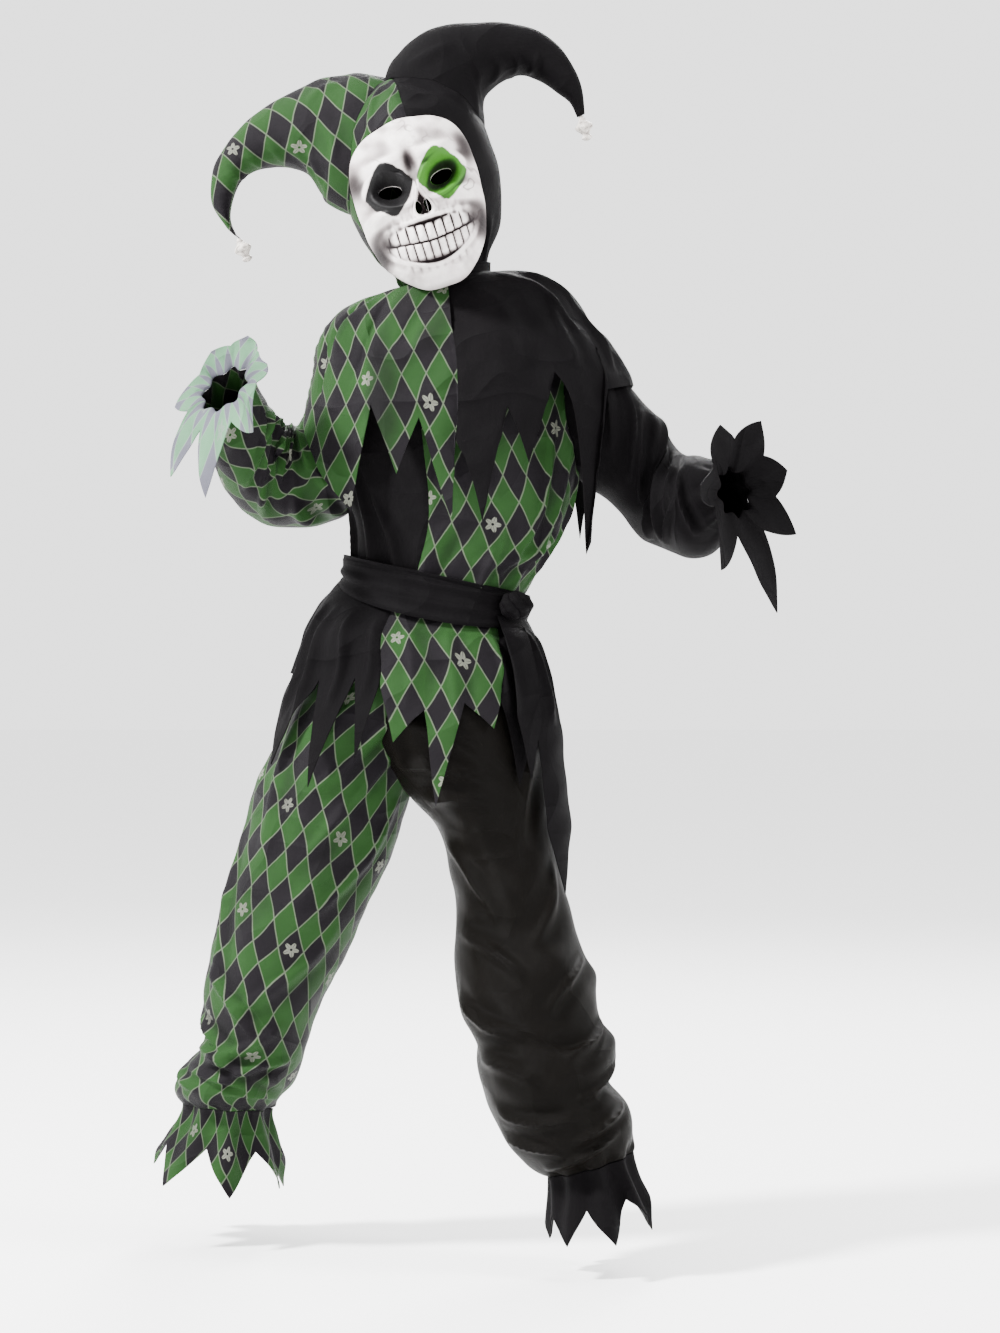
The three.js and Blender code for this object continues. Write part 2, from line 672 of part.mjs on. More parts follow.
const ovalOutline = (side, up, wide, high, tip) =>
  Array.from({ length: 14 }, (_, i) => {
    const turn = (i / 14) * 2 * Math.PI;
    const [a, b] = [wide * Math.cos(turn), high * Math.sin(turn)];
    return {
      side: MASK_MIDDLE + side + a * Math.cos(tip) - b * Math.sin(tip),
      up: up + a * Math.sin(tip) + b * Math.cos(tip),
    };
  });

const FACE_FLOOR = -84;     // the hood closes below the chin here
const faceOpening = () => {
  const turn = (2 * Math.PI) / MASK_TURNS;
  const outline = Array.from({ length: MASK_TURNS }, (_, i) => outlinePoint(i * turn, 2 * CLEAR));
  return faceCutter(outline.map((p) => ({ side: p.side, up: Math.max(p.up, FACE_FLOOR) })), -200, 10);
};

const HOOD_ROWS = 11;
const hoodHalf = (from, to) => wall(hoodSurface, openColumns(from, to, 12, 0, hoodSurface.last), HOOD_ROWS);
const hoodForm = plug(hoodSurface, evenColumns(0, 2 * Math.PI, 24, 0, hoodSurface.last), HOOD_ROWS, CLEAR);
const opening = faceOpening();
add("hood_right", hoodHalf(90 * DEGREE, 270 * DEGREE).subtract(opening), GREEN);
add("hood_left", hoodHalf(-90 * DEGREE, 90 * DEGREE).subtract(opening), BLACK);

const EYE = { side: 31, up: 1, wide: 14, high: 8, tip: 14 * DEGREE };
const NOSTRIL = { side: 5.5, up: -32, wide: 3.8, high: 8, tip: 10 * DEGREE };
const maskHoles = [-1, 1].flatMap((hand) => [
  faceCutter(ovalOutline(hand * EYE.side, EYE.up, EYE.wide, EYE.high, hand * EYE.tip), -200, 0),
  faceCutter(ovalOutline(hand * NOSTRIL.side, NOSTRIL.up, NOSTRIL.wide, NOSTRIL.high, hand * NOSTRIL.tip), -200, 0),
]);
add("mask", maskHoles.reduce((shell, hole) => shell.subtract(hole), maskShell()), BONE);

// Horns: stuffed and closed, each a run of rings along its curve down to the tip.
const HORN_RIGHT_RINGS = table(RING, [
  [-62, 62, -34, 236, -14, 62, 0],
  [-136, 92, -96, 250, -14, 60, 0],
  [-150, 108, -124, 248, -14, 54, 0],
  [-166, 130, -152, 244, -15, 47, 0],
  [-186, 138, -177, 232, -16, 40, 0],
  [-207, 138, -207, 216, -17, 33, 0],
  [-228, 134, -240, 192, -18, 26, 0],
  [-246, 120, -264, 164, -19, 20, 0],
  [-255, 97, -279, 134, -20, 15, 0],
  [-258, 76, -280, 96, -20, 10.5, 0],
  [-252, 58, -264, 68, -20, 6.5, 0],
  [-246, 52, -252, 58, -20, 3, 0],
]);
const HORN_LEFT_RINGS = table(RING, [
  [-84, 190, 30, 124, -14, 60, 0],
  [-72, 252, 44, 178, -14, 62, 0],
  [-57, 276, 44, 212, -14, 57, 0],
  [-34, 296, 48, 226, -14, 50, 0],
  [-4, 308, 62, 238, -15, 42, 0],
  [38, 312, 80, 247, -16, 35, 0],
  [78, 310, 93, 248, -17, 29, 0],
  [110, 300, 104, 244, -18, 24, 0],
  [133, 283, 116, 238, -19, 19, 0],
  [150, 260, 131, 228, -20, 13.5, 0],
  [161, 232, 147, 216, -20, 9, 0],
  [164, 202, 156, 198, -20, 3.5, 0],
]);
const hornForm = (rings, offset) => {
  const surface = tubeSurface(rings);
  const end = surface.last + offset / surface.middle(surface.last).distanceTo(surface.middle(surface.last - 1));
  return plug(surface, evenColumns(0, 2 * Math.PI, 14, 0, end), 12, offset);
};
add("horn_left", hornForm(HORN_LEFT_RINGS, 0).subtract(hoodForm).subtract(opening), BLACK);
const rightHorn = hornForm(HORN_RIGHT_RINGS, 0).subtract(hoodForm).subtract(opening);
add("horn_right", rightHorn.subtract(hornForm(HORN_LEFT_RINGS, CLEAR)), GREEN);

// Charms at the horn tips: a turned neck and a round bead.
function charm(x, y, z, tip) {
  const profile = [[0, 0], [2.6, 0], [3.2, -3], [7.6, -6], [10.8, -12], [10.4, -18], [7.4, -23], [6.4, -29], [0, -31]];
  const shape = new THREE.LatheGeometry(profile.map(([r, h]) => new THREE.Vector2(r, h)), 8);
  shape.rotateX(90 * DEGREE).rotateY(tip).translate(x, y, z);
  const position = shape.getAttribute("position");
  const seen = new Map();
  const points = [];
  const ids = Array.from({ length: position.count }, (_, i) => {
    const p = new THREE.Vector3().fromBufferAttribute(position, i);
    const key = [p.x, p.y, p.z].map((c) => Math.round(c * 100)).join();
    if (!seen.has(key)) seen.set(key, points.push(p) - 1);
    return seen.get(key);
  });
  const corners = Array.from(shape.getIndex().array, (i) => ids[i]);
  const triangles = [];
  for (let i = 0; i < corners.length; i += 3) {
    const [a, b, c] = corners.slice(i, i + 3);
    if (a !== b && b !== c && c !== a) triangles.push([a, b, c]);
  }
  return solid(points, triangles);
}
const CHARM_GAP = 0.4;
add("charm_right", charm(-249, -20, 54 - CHARM_GAP, -24 * DEGREE).subtract(hornForm(HORN_RIGHT_RINGS, CLEAR)), BONE);
add("charm_left", charm(160, -20, 200 - CHARM_GAP, -16 * DEGREE).subtract(hornForm(HORN_LEFT_RINGS, CLEAR)), BONE);

// Tunic body: four panels, trimmed to the sleeves.
const shirtSurface = tubeSurface(SHIRT_RINGS, { power: 2.3, folds: SHIRT_FOLDS });
const shirtForm = plug(shirtSurface, evenColumns(0, 2 * Math.PI, 28, 0, shirtSurface.last), 8, CLEAR + 0.6);
const sleeve = {
  right: tubeSurface(SLEEVE_RIGHT_RINGS, { folds: SLEEVE_RIGHT_FOLDS, gathers: { count: 8, out: 3, reach: 1 } }),
  left: tubeSurface(SLEEVE_LEFT_RINGS, { folds: SLEEVE_LEFT_FOLDS, gathers: { count: 8, out: 3, reach: 1 } }),
};
const SLEEVE_COLUMNS = 24;
const SLEEVE_ROWS = 8;
const sleeveForm = (surface) =>
  plug(surface, evenColumns(0, 2 * Math.PI, SLEEVE_COLUMNS, 0, surface.last), SLEEVE_ROWS, CLEAR);
const armholes = sleeveForm(sleeve.right).add(sleeveForm(sleeve.left));
const FRONT_SEAM = 258 * DEGREE;
const BACK_SEAM = 90 * DEGREE;
const shirtPanel = (from, to) =>
  wall(shirtSurface, openColumns(from, to, 7, 0, shirtSurface.last), 8, { bottom: SEAM / 2 }).subtract(armholes);
add("tunic_front_right", shirtPanel(180 * DEGREE, FRONT_SEAM), BLACK);
add("tunic_front_left", shirtPanel(FRONT_SEAM, 360 * DEGREE), GREEN);
add("tunic_back_left", shirtPanel(0, BACK_SEAM), GREEN);
add("tunic_back_right", shirtPanel(BACK_SEAM, 180 * DEGREE), BLACK);

for (const hand of ["right", "left"]) {
  const surface = sleeve[hand];
  const tube = wall(surface, evenColumns(0, 2 * Math.PI, SLEEVE_COLUMNS, 0, surface.last), SLEEVE_ROWS, {
    closed: true, bottom: SEAM / 2,
  });
  add("sleeve_" + hand, tube.subtract(shirtForm), hand === "right" ? GREEN : BLACK);
}

// Cape and skirt: dagged panels round the shoulders and the hips.
const capeSurface = tubeSurface(CAPE_RINGS, { power: 2.5 });
const capePanel = (dags, grow = 0) =>
  wall(capeSurface, dagColumns(capeSurface, dags, 2, 0), 5, { offset: grow, thickness: CLOTH + 2 * grow });
add("cape_front_left", capePanel(CAPE_BLACK_FRONT), BLACK);
add("cape_back_left", capePanel(CAPE_BLACK_BACK), BLACK);
add("cape_back_right", capePanel(CAPE_GREEN_BACK), GREEN);
add("cape_front_right", capePanel(CAPE_GREEN_FRONT), GREEN);

// Neckband: a short stand round the hood's neck, with the tunic and the cape sewn under it.
const capeSkin = [CAPE_BLACK_FRONT, CAPE_BLACK_BACK, CAPE_GREEN_BACK, CAPE_GREEN_FRONT]
  .map((dags) => capePanel(dags, CLEAR))
  .reduce((whole, panel) => whole.add(panel));
const BAND_WALL = 3;
const bandSurface = (theta, v) => hoodSurface(theta, v);
bandSurface.middle = hoodSurface.middle;
add("neckband", wall(bandSurface, evenColumns(0, 2 * Math.PI, 24, 0.55, 1.45), 2, {
  closed: true, thickness: BAND_WALL, offset: BAND_WALL + 1.3,
}).subtract(capeSkin).subtract(shirtForm), BLACK);

// Sash: a band with soft lengthwise pleats, a knot on the wearer's left hip, and two hanging tails.
const sashTube = tubeSurface(SASH_RINGS, { power: 2.2 });
const PLEATS = { count: 2, out: 2.2 };
const sashSurface = (theta, v) => {
  const p = sashTube(theta, v);
  const arm = p.clone().sub(sashTube.middle(v)).normalize();
  const turn = PLEATS.count * Math.PI * (v / sashTube.last) + theta / 2;
  return p.addScaledVector(arm, PLEATS.out * Math.abs(Math.sin(turn)));
};
sashSurface.middle = sashTube.middle;
sashSurface.last = sashTube.last;
const SASH_WALL = 3;
const SASH_COLUMNS = 28;
const SASH_ROWS = 5;
const sashColumns = () => evenColumns(0, 2 * Math.PI, SASH_COLUMNS, 0, 3);
const SASH_EDGES = { closed: true, thickness: SASH_WALL, offset: 1, top: 1.4, bottom: 1.4 };
const sashForm = (grow) => plug(sashSurface, sashColumns(), SASH_ROWS, grow);
add("sash", wall(sashSurface, sashColumns(), SASH_ROWS, SASH_EDGES).subtract(shirtForm), BLACK);

function knot(grow) {
  const points = [];
  const triangles = [];
  const [turns, bands] = [14, 8];
  const at = (i, j) => {
    const [a, b] = [(i / turns) * 2 * Math.PI, (j / bands) * Math.PI];
    const lobes = 1 + 0.1 * Math.cos(3 * a) * Math.sin(b);
    return new THREE.Vector3(
      81 + (19 * lobes + grow) * Math.sin(b) * Math.cos(a),
      -72 + (17 * lobes + grow) * Math.sin(b) * Math.sin(a),
      -386 + (17 + grow) * Math.cos(b));
  };
  const poles = [0, bands].map((j) => points.push(at(0, j)) - 1);
  for (let j = 1; j < bands; j++) for (let i = 0; i < turns; i++) points.push(at(i, j));
  const id = (i, j) => 2 + (j - 1) * turns + (i % turns);
  for (let i = 0; i < turns; i++) {
    triangles.push([poles[0], id(i, 1), id(i + 1, 1)], [poles[1], id(i + 1, bands - 1), id(i, bands - 1)]);
    for (let j = 1; j < bands - 1; j++)
      triangles.push([id(i, j), id(i, j + 1), id(i + 1, j + 1)], [id(i, j), id(i + 1, j + 1), id(i + 1, j)]);
  }
  return solid(points, triangles);
}
const wholeSash = sashForm(1 + CLEAR);
add("knot", knot(0).subtract(wholeSash).subtract(shirtForm), BLACK);

const skirtSurface = tubeSurface(SKIRT_RINGS, { power: 2.2 });
const skirtPanel = (dags) =>
  wall(skirtSurface, dagColumns(skirtSurface, dags, 2, 0), 4).subtract(wholeSash).subtract(shirtForm);
add("skirt_right", skirtPanel(SKIRT_BLACK_RIGHT), BLACK);
add("skirt_front", skirtPanel(SKIRT_GREEN_FRONT), GREEN);
add("skirt_left", skirtPanel(SKIRT_BLACK_LEFT), BLACK);
add("skirt_back_left", skirtPanel(SKIRT_GREEN_BACK), GREEN);
add("skirt_back_right", skirtPanel(SKIRT_BLACK_BACK), BLACK);

// Trousers: two legs that meet in one seam from the waist down to the crotch.
const leg = {
  right: tubeSurface(LEG_RIGHT_RINGS, { folds: LEG_RIGHT_FOLDS, gathers: { count: 9, out: 4, reach: 1 } }),
  left: tubeSurface(LEG_LEFT_RINGS, { folds: LEG_LEFT_FOLDS, gathers: { count: 9, out: 4, reach: 1 } }),
};
const LEG_COLUMNS = 28;
const LEG_ROWS = 12;
const shirtColumns = evenColumns(0, 2 * Math.PI, 28, 0, shirtSurface.last);
const tunicHem = shirtForm.subtract(plug(shirtSurface, shirtColumns, 8, -CLOTH - 1.3 * CLEAR));
for (const [hand, other, material] of [["right", "left", GREEN], ["left", "right", SATIN]]) {
  const columns = (surface) => evenColumns(0, 2 * Math.PI, LEG_COLUMNS, 0, surface.last);
  const tube = wall(leg[hand], columns(leg[hand]), LEG_ROWS, { closed: true, bottom: SEAM / 2 });
  const trimmed = tube.subtract(plug(leg[other], columns(leg[other]), LEG_ROWS, CLEAR)).subtract(tunicHem);
  add("leg_" + hand, trimmed, material);
}

// Dagged cuffs: they leave the elastic along the limb, spread outwards and fall.
function cuffSurface(tube, { onward, spread, fall, aside, waves, ripple }) {
  const ringMiddle = tube.middle(tube.last);
  const along0 = tube.middle(tube.last).sub(tube.middle(tube.last - 0.3));
  const surface = (theta, v) => {
    const start = tube(theta, tube.last);
    const before = tube(theta, tube.last - 0.02);
    const axis = start.clone().sub(before).normalize().lerp(along0.clone().normalize(), 0.8).normalize();
    const out = start.clone().sub(ringMiddle).normalize();
    const wave = ripple * Math.sin(waves * theta) * v;
    const drop = fall * v * v * (0.5 - 0.5 * out.z);
    return start.addScaledVector(axis, onward * v)
      .addScaledVector(out, spread * Math.sqrt(v * v + 0.02) - spread * Math.sqrt(0.02) + wave)
      .add(new THREE.Vector3(aside * v, 0, -drop));
  };
  surface.middle = (v) => ringMiddle.clone().addScaledVector(along0.clone().normalize(), onward * v);
  surface.last = 1;
  return surface;
}

// Hem of a cuff: even dags, each with its own length as a share of the longest.
function cuffColumns(lengths, notch, cuts) {
  const columns = [];
  const half = Math.PI / lengths.length;
  lengths.forEach((length, i) => {
    for (let k = 0; k < 2 * cuts; k++) {
      const angle = (2 * i + k / cuts) * half;
      const rise = 1 - Math.abs(k / cuts - 1);
      columns.push({ top: angle, angle, start: 0, end: lerp(notch, length, rise) });
    }
  });
  return columns;
}

const CUFFS = {
  cuff_right: {
    tube: sleeve.right, onward: 30, spread: 48, fall: 88, aside: 0,
    lengths: [0.8, 0.7, 0.85, 1, 1.05, 0.95, 0.9],
  },
  cuff_left: {
    tube: sleeve.left, onward: 34, spread: 70, fall: 26, aside: 0,
    lengths: [0.95, 0.8, 0.9, 1.32, 1.2, 1.05, 1],
  },
  ankle_right: {
    tube: leg.right, onward: 98, spread: 56, fall: 14, aside: -34,
    lengths: [1, 0.9, 0.96, 0.86, 1.02, 1.06, 0.96],
  },
  ankle_left: {
    tube: leg.left, onward: 90, spread: 34, fall: 16, aside: -32,
    lengths: [1.14, 0.95, 0.9, 0.85, 0.9, 1, 0.95],
  },
};
for (const [name, { tube, lengths, ...shape }] of Object.entries(CUFFS)) {
  const surface = cuffSurface(tube, { ...shape, waves: lengths.length, ripple: 5 });
  const material = name.endsWith("right") ? GREEN : BLACK;
  add(name, wall(surface, cuffColumns(lengths, 0.52, 2), 3, { closed: true, top: 0.9 }), material);
}

const TAILS = {
  tail_outer: { top: -34, bottom: -27, half: 11, offset: 9, end: 6.8 },
  tail_inner: { top: -40, bottom: -44, half: 9, offset: 13, end: 4.9 },
};
for (const [name, tail] of Object.entries(TAILS)) {
  const columns = [-1, -0.5, 0, 0.5, 1].map((across) => ({
    top: (tail.top + across * tail.half) * DEGREE,
    start: 0.35,
    angle: (tail.bottom + across * tail.half * 0.8) * DEGREE,
    end: tail.end - Math.abs(across) * 1.1,
  }));
  const made = wall(skirtSurface, columns, 6, { offset: tail.offset });
  add(name, made.subtract(knot(CLEAR)).subtract(wholeSash), BLACK);
}

export default costume;
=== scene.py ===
import math

import bpy
import numpy as np
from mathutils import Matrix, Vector


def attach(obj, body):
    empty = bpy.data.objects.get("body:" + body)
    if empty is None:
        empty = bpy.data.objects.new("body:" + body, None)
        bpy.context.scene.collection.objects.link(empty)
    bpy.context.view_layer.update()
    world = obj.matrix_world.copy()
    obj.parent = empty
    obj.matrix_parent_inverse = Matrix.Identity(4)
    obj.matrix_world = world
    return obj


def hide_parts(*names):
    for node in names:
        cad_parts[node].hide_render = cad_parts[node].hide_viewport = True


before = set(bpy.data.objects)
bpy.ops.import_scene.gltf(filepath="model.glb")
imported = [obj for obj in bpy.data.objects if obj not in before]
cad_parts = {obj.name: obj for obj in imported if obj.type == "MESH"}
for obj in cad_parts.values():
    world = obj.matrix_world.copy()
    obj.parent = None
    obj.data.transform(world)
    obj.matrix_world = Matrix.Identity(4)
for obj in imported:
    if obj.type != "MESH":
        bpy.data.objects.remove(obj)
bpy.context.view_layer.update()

# Everything below is worked out in millimetres in the part's own frame: the origin is the middle of the neck,
# +Z is up and the front faces -Y. Meshes are written in metres.
MM = 0.001
TURN = 2 * math.pi
CLOTH = 1.3
FRONT, BACK = -1, 1


def table(columns, rows):
    """A short table: one array for each named column."""
    return {name: np.array([row[i] for row in rows], float) for i, name in enumerate(columns)}


RING = ("left_x", "left_z", "right_x", "right_z", "y", "depth", "lean")

SHIRT_RINGS = table(RING, [
    (-49, -18, 51, 13, 0, 52.5, 0),
    (-84, -36, 90, -4, 0, 62, 0),
    (-116, -56, 127, -32, 0, 78, 0),
    (-138, -86, 152, -72, 2, 92, 0),
    (-146, -116, 162, -114, 4, 102, 0),
    (-138, -188, 158, -186, 5, 106, 0),
    (-122, -258, 152, -258, 4, 103, 0),
    (-114, -300, 134, -306, 2, 96, 0),
    (-115, -330, 108, -345, 0, 89, -4),
    (-117, -364, 86, -384, 0, 84, -8),
])

CAPE_RINGS = table(RING, [
    (-50.5, -16.5, 53.5, 14.4, 0, 54.5, 0),
    (-98, -19, 103, 12, 0, 72, 0),
    (-132, -39, 145, -9, 0, 90, 0),
    (-152, -69, 173, -48, 0, 104, 0),
    (-159, -102, 192, -70, 0, 112, 0),
    (-168, -142, 209, -97, 0, 117, 0),
    (-177, -200, 222, -126, 0, 119, 0),
    (-184, -262, 220, -196, 0, 120, 0),
    (-184, -330, 214, -290, 0, 121, 0),
    (-184, -390, 208, -380, 0, 121, 0),
])

SKIRT_RINGS = table(RING, [
    (-112, -340, 86, -386, 0, 86, -14),
    (-146, -376, 102, -412, 0, 99, -10),
    (-168, -412, 112, -434, 0, 113, -3),
    (-180, -456, 126, -484, 0, 120, 0),
    (-200, -506, 135, -532, 0, 125, 0),
    (-226, -576, 142, -600, 0, 131, 0),
    (-246, -650, 148, -670, 0, 136, 0),
    (-262, -720, 152, -740, 0, 138, 0),
])

SASH_RINGS = table(RING, [
    (-121, -324, 98, -372, 0, 92.5, -2),
    (-123, -334, 96, -379, 0, 93.5, -5),
    (-124, -345, 96, -388, 0, 97, -10),
    (-125, -357, 97, -399, 0, 100, -15),
])

LEG_RIGHT_RINGS = table(RING, [
    (-114.8, -361, 64, -380, 0, 80, -8),
    (-139, -412, 48, -426, 2, 94, 0),
    (-164, -470, 20, -486, 4, 102, 0),
    (-196, -532, -18, -546, 6, 99, 0),
    (-226, -590, -46, -618, 8, 92, 0),
    (-243, -648, -68, -688, 12, 86, 0),
    (-262, -712, -100, -755, 17, 80, 0),
    (-280, -780, -132, -824, 25, 74, 0),
    (-294, -842, -159, -883, 38, 69, 0),
    (-296, -900, -176, -932, 48, 64, 0),
    (-322, -944, -187, -963, 62, 69, 0),
    (-335, -972, -206, -986, 69, 66, 0),
    (-322, -990, -216, -998, 73, 50, 0),
])

LEG_LEFT_RINGS = table(RING, [
    (-92, -363, 85.2, -381, 0, 80.5, -8),
    (-94, -414, 91, -430, 0, 95, 0),
    (-104, -476, 106, -494, -2, 112, 0),
    (-110, -540, 120, -552, -5, 110, 0),
    (-52, -606, 126, -598, -10, 98, 0),
    (-10, -655, 129, -642, -18, 86, 0),
    (6, -713, 135, -696, -28, 77, 0),
    (11, -760, 148, -748, -42, 75, 0),
    (11, -812, 161, -792, -53, 79, 0),
    (16, -862, 175, -838, -61, 83, 0),
    (32, -900, 184, -880, -68, 83, 0),
    (40, -946, 198, -914, -75, 85, 0),
    (54, -984, 195, -944, -80, 83, 0),
    (73, -1018, 214, -972, -85, 79, 0),
    (99, -1043, 219, -1002, -88, 68, 0),
    (121, -1052, 216, -1026, -90, 50, 0),
])

SLEEVE_RIGHT_RINGS = table(RING, [
    (-96, -250, -128, -84, 0, 56, 0),
    (-117, -273, -150, -140, 3, 60, 0),
    (-138, -284, -170, -155, 4, 61, 0),
    (-176, -290, -187, -166, 2, 60, 4),
    (-219, -286, -199, -167, -12, 56, 14),
    (-249, -264, -209, -155, -38, 52, 28),
    (-268, -227, -218, -137, -74, 44, 40),
    (-279, -158, -231, -114, -113, 28, 46),
])

SLEEVE_LEFT_RINGS = table(RING, [
    (118, -196, 118, -30, 0, 56, 0),
    (168, -240, 182, -80, -2, 59, 0),
    (199, -263, 226, -131, -2, 59, 0),
    (223, -290, 257, -165, 4, 60, 0),
    (240, -308, 271, -191, -2, 60, 10),
    (270, -323, 285, -207, -30, 58, 24),
    (304, -328, 300, -211, -70, 52, 38),
    (340, -283, 330, -228, -110, 28, 48),
])

HORN_RIGHT_RINGS = table(RING, [
    (-62, 62, -34, 236, -14, 62, 0),
    (-136, 92, -96, 250, -14, 60, 0),
    (-150, 108, -124, 248, -14, 54, 0),
    (-166, 130, -152, 244, -15, 47, 0),
    (-186, 138, -177, 232, -16, 40, 0),
    (-207, 138, -207, 216, -17, 33, 0),
    (-228, 134, -240, 192, -18, 26, 0),
    (-246, 120, -264, 164, -19, 20, 0),
    (-255, 97, -279, 134, -20, 15, 0),
    (-258, 76, -280, 96, -20, 10.5, 0),
    (-252, 58, -264, 68, -20, 6.5, 0),
    (-246, 52, -252, 58, -20, 3, 0),
])

HORN_LEFT_RINGS = table(RING, [
    (-84, 190, 30, 124, -14, 60, 0),
    (-72, 252, 44, 178, -14, 62, 0),
    (-57, 276, 44, 212, -14, 57, 0),
    (-34, 296, 48, 226, -14, 50, 0),
    (-4, 308, 62, 238, -15, 42, 0),
    (38, 312, 80, 247, -16, 35, 0),
    (78, 310, 93, 248, -17, 29, 0),
    (110, 300, 104, 244, -18, 24, 0),
    (133, 283, 116, 238, -19, 19, 0),
    (150, 260, 131, 228, -20, 13.5, 0),
    (161, 232, 147, 216, -20, 9, 0),
    (164, 202, 156, 198, -20, 3.5, 0),
])

# Points of a dagged hem in the front view: notches and tips in turn, the side of the body they are on, and the
# angle at the top edge that each hangs from.
DAG = ("x", "z", "side", "top")
CAPE_DAGS = {
    "cape_front_left": table(DAG, [
        (12, -194, FRONT, -90), (43, -290, FRONT, -76), (72, -158, FRONT, -62), (97, -221, FRONT, -48),
        (126, -116, FRONT, -34), (166, -327, FRONT, -24), (186, -133, FRONT, -13), (221, -122, FRONT, 0),
    ]),
    "cape_back_left": table(DAG, [
        (221, -122, BACK, 0), (186, -135, BACK, 13), (160, -300, BACK, 25), (124, -125, BACK, 36),
        (92, -240, BACK, 50), (58, -150, BACK, 63), (30, -292, BACK, 77), (8, -180, BACK, 90),
    ]),
    "cape_back_right": table(DAG, [
        (8, -180, BACK, 90), (-18, -286, BACK, 104), (-44, -158, BACK, 118), (-72, -250, BACK, 133),
        (-98, -146, BACK, 147), (-128, -262, BACK, 163), (-160, -142, BACK, 180),
    ]),
    "cape_front_right": table(DAG, [
        (-160, -142, FRONT, 180), (-110, -277, FRONT, 198), (-86, -153, FRONT, 214), (-57, -234, FRONT, 229),
        (-31, -168, FRONT, 244), (8, -289, FRONT, 258), (12, -194, FRONT, 270),
    ]),
}
SKIRT_DAGS = {
    "skirt_right": table(DAG, [
        (-186, -466, FRONT, 182), (-206, -573, FRONT, 193), (-150, -473, FRONT, 206), (-161, -598, FRONT, 218),
        (-106, -471, FRONT, 230), (-105, -567, FRONT, 240), (-76, -478, FRONT, 250),
    ]),
    "skirt_front": table(DAG, [
        (-76, -478, FRONT, 250), (-60, -546, FRONT, 258), (-24, -508, FRONT, 270), (-11, -620, FRONT, 282),
        (22, -500, FRONT, 294), (56, -530, FRONT, 307), (64, -499, FRONT, 316),
    ]),
    "skirt_left": table(DAG, [
        (64, -499, FRONT, -44), (88, -596, FRONT, -34), (110, -504, FRONT, -24), (126, -610, FRONT, -12),
        (129, -512, BACK, 1),
    ]),
    "skirt_back_left": table(DAG, [
        (129, -512, BACK, 1), (112, -606, BACK, 20), (88, -500, BACK, 36), (60, -600, BACK, 52),
        (26, -492, BACK, 68), (-12, -612, BACK, 86),
    ]),
    "skirt_back_right": table(DAG, [
        (-12, -612, BACK, 86), (-50, -486, BACK, 102), (-86, -590, BACK, 118), (-118, -480, BACK, 135),
        (-160, -590, BACK, 152), (-178, -470, BACK, 167), (-186, -466, FRONT, 182),
    ]),
}

# Broad folds that the solids have too: degrees round, rings along, reach both ways, slant a ring, height.
FOLD = ("at", "ring", "wide", "long", "slant", "out")
LEG_RIGHT_FOLDS = table(FOLD, [
    (250, 3.4, 16, 1.8, 6, 4), (285, 5.2, 14, 1.6, -8, 4), (225, 7.2, 22, 0.5, 24, -5),
    (205, 8.6, 26, 0.8, 14, 5), (240, 9.6, 30, 0.5, -20, 6), (180, 9.4, 30, 0.45, 10, -9),
    (300, 9.9, 34, 0.5, 24, 5), (60, 8.2, 30, 1.2, 12, 5), (120, 9.3, 34, 0.7, -16, -5),
])
LEG_LEFT_FOLDS = table(FOLD, [
    (225, 9.6, 24, 0.6, -26, 6), (290, 10.2, 30, 0.4, 22, -6), (245, 4.4, 18, 1.2, 12, 4),
    (265, 6.2, 40, 0.6, 22, 6), (300, 8.2, 34, 0.9, -18, 5), (0, 8.6, 24, 0.45, 10, 6),
    (0, 10.4, 26, 0.5, 0, 7), (355, 12.0, 26, 0.45, 0, -8), (250, 11.2, 36, 0.9, 20, 6),
    (180, 9.8, 26, 0.6, 0, -7), (80, 8.4, 34, 1.4, 14, 6), (120, 11.5, 34, 1.0, -12, -6),
])
SLEEVE_RIGHT_FOLDS = table(FOLD, [
    (280, 3.2, 30, 0.35, 20, 6), (290, 4.8, 26, 0.3, -18, -6), (350, 2.6, 40, 0.35, 10, -7),
    (340, 4.2, 42, 0.4, -12, 7), (330, 5.3, 40, 0.4, 14, -6), (230, 2.0, 34, 0.7, 26, 5),
    (240, 4.6, 34, 0.6, -22, 6), (120, 3.6, 40, 0.9, 12, 5),
])
SLEEVE_LEFT_FOLDS = table(FOLD, [
    (300, 1.6, 30, 0.6, -26, 7), (320, 2.8, 26, 0.5, -24, 7), (250, 3.6, 30, 0.6, 26, 6),
    (200, 4.4, 26, 0.4, 10, -6), (290, 5.0, 26, 0.6, 18, 6), (100, 3.2, 40, 1.0, 12, 5),
])
SHIRT_FOLDS = table(FOLD, [
    (335, 5.4, 10, 1.8, -6, 4), (210, 6.6, 12, 1.6, 8, 4), (250, 7.0, 14, 1.6, 8, 3),
    (300, 7.2, 12, 1.8, -7, 3), (330, 6.9, 12, 1.6, -10, 3), (60, 6.6, 16, 1.8, 5, 3),
    (120, 6.8, 16, 1.8, -5, 3),
])
HOOD_FOLDS = table(FOLD, [
    (330, 6.3, 30, 0.5, 24, 3), (10, 2.6, 26, 0.6, 10, 4), (90, 2.8, 34, 0.5, 12, 4),
    (150, 2.9, 26, 0.5, -12, 4),
])

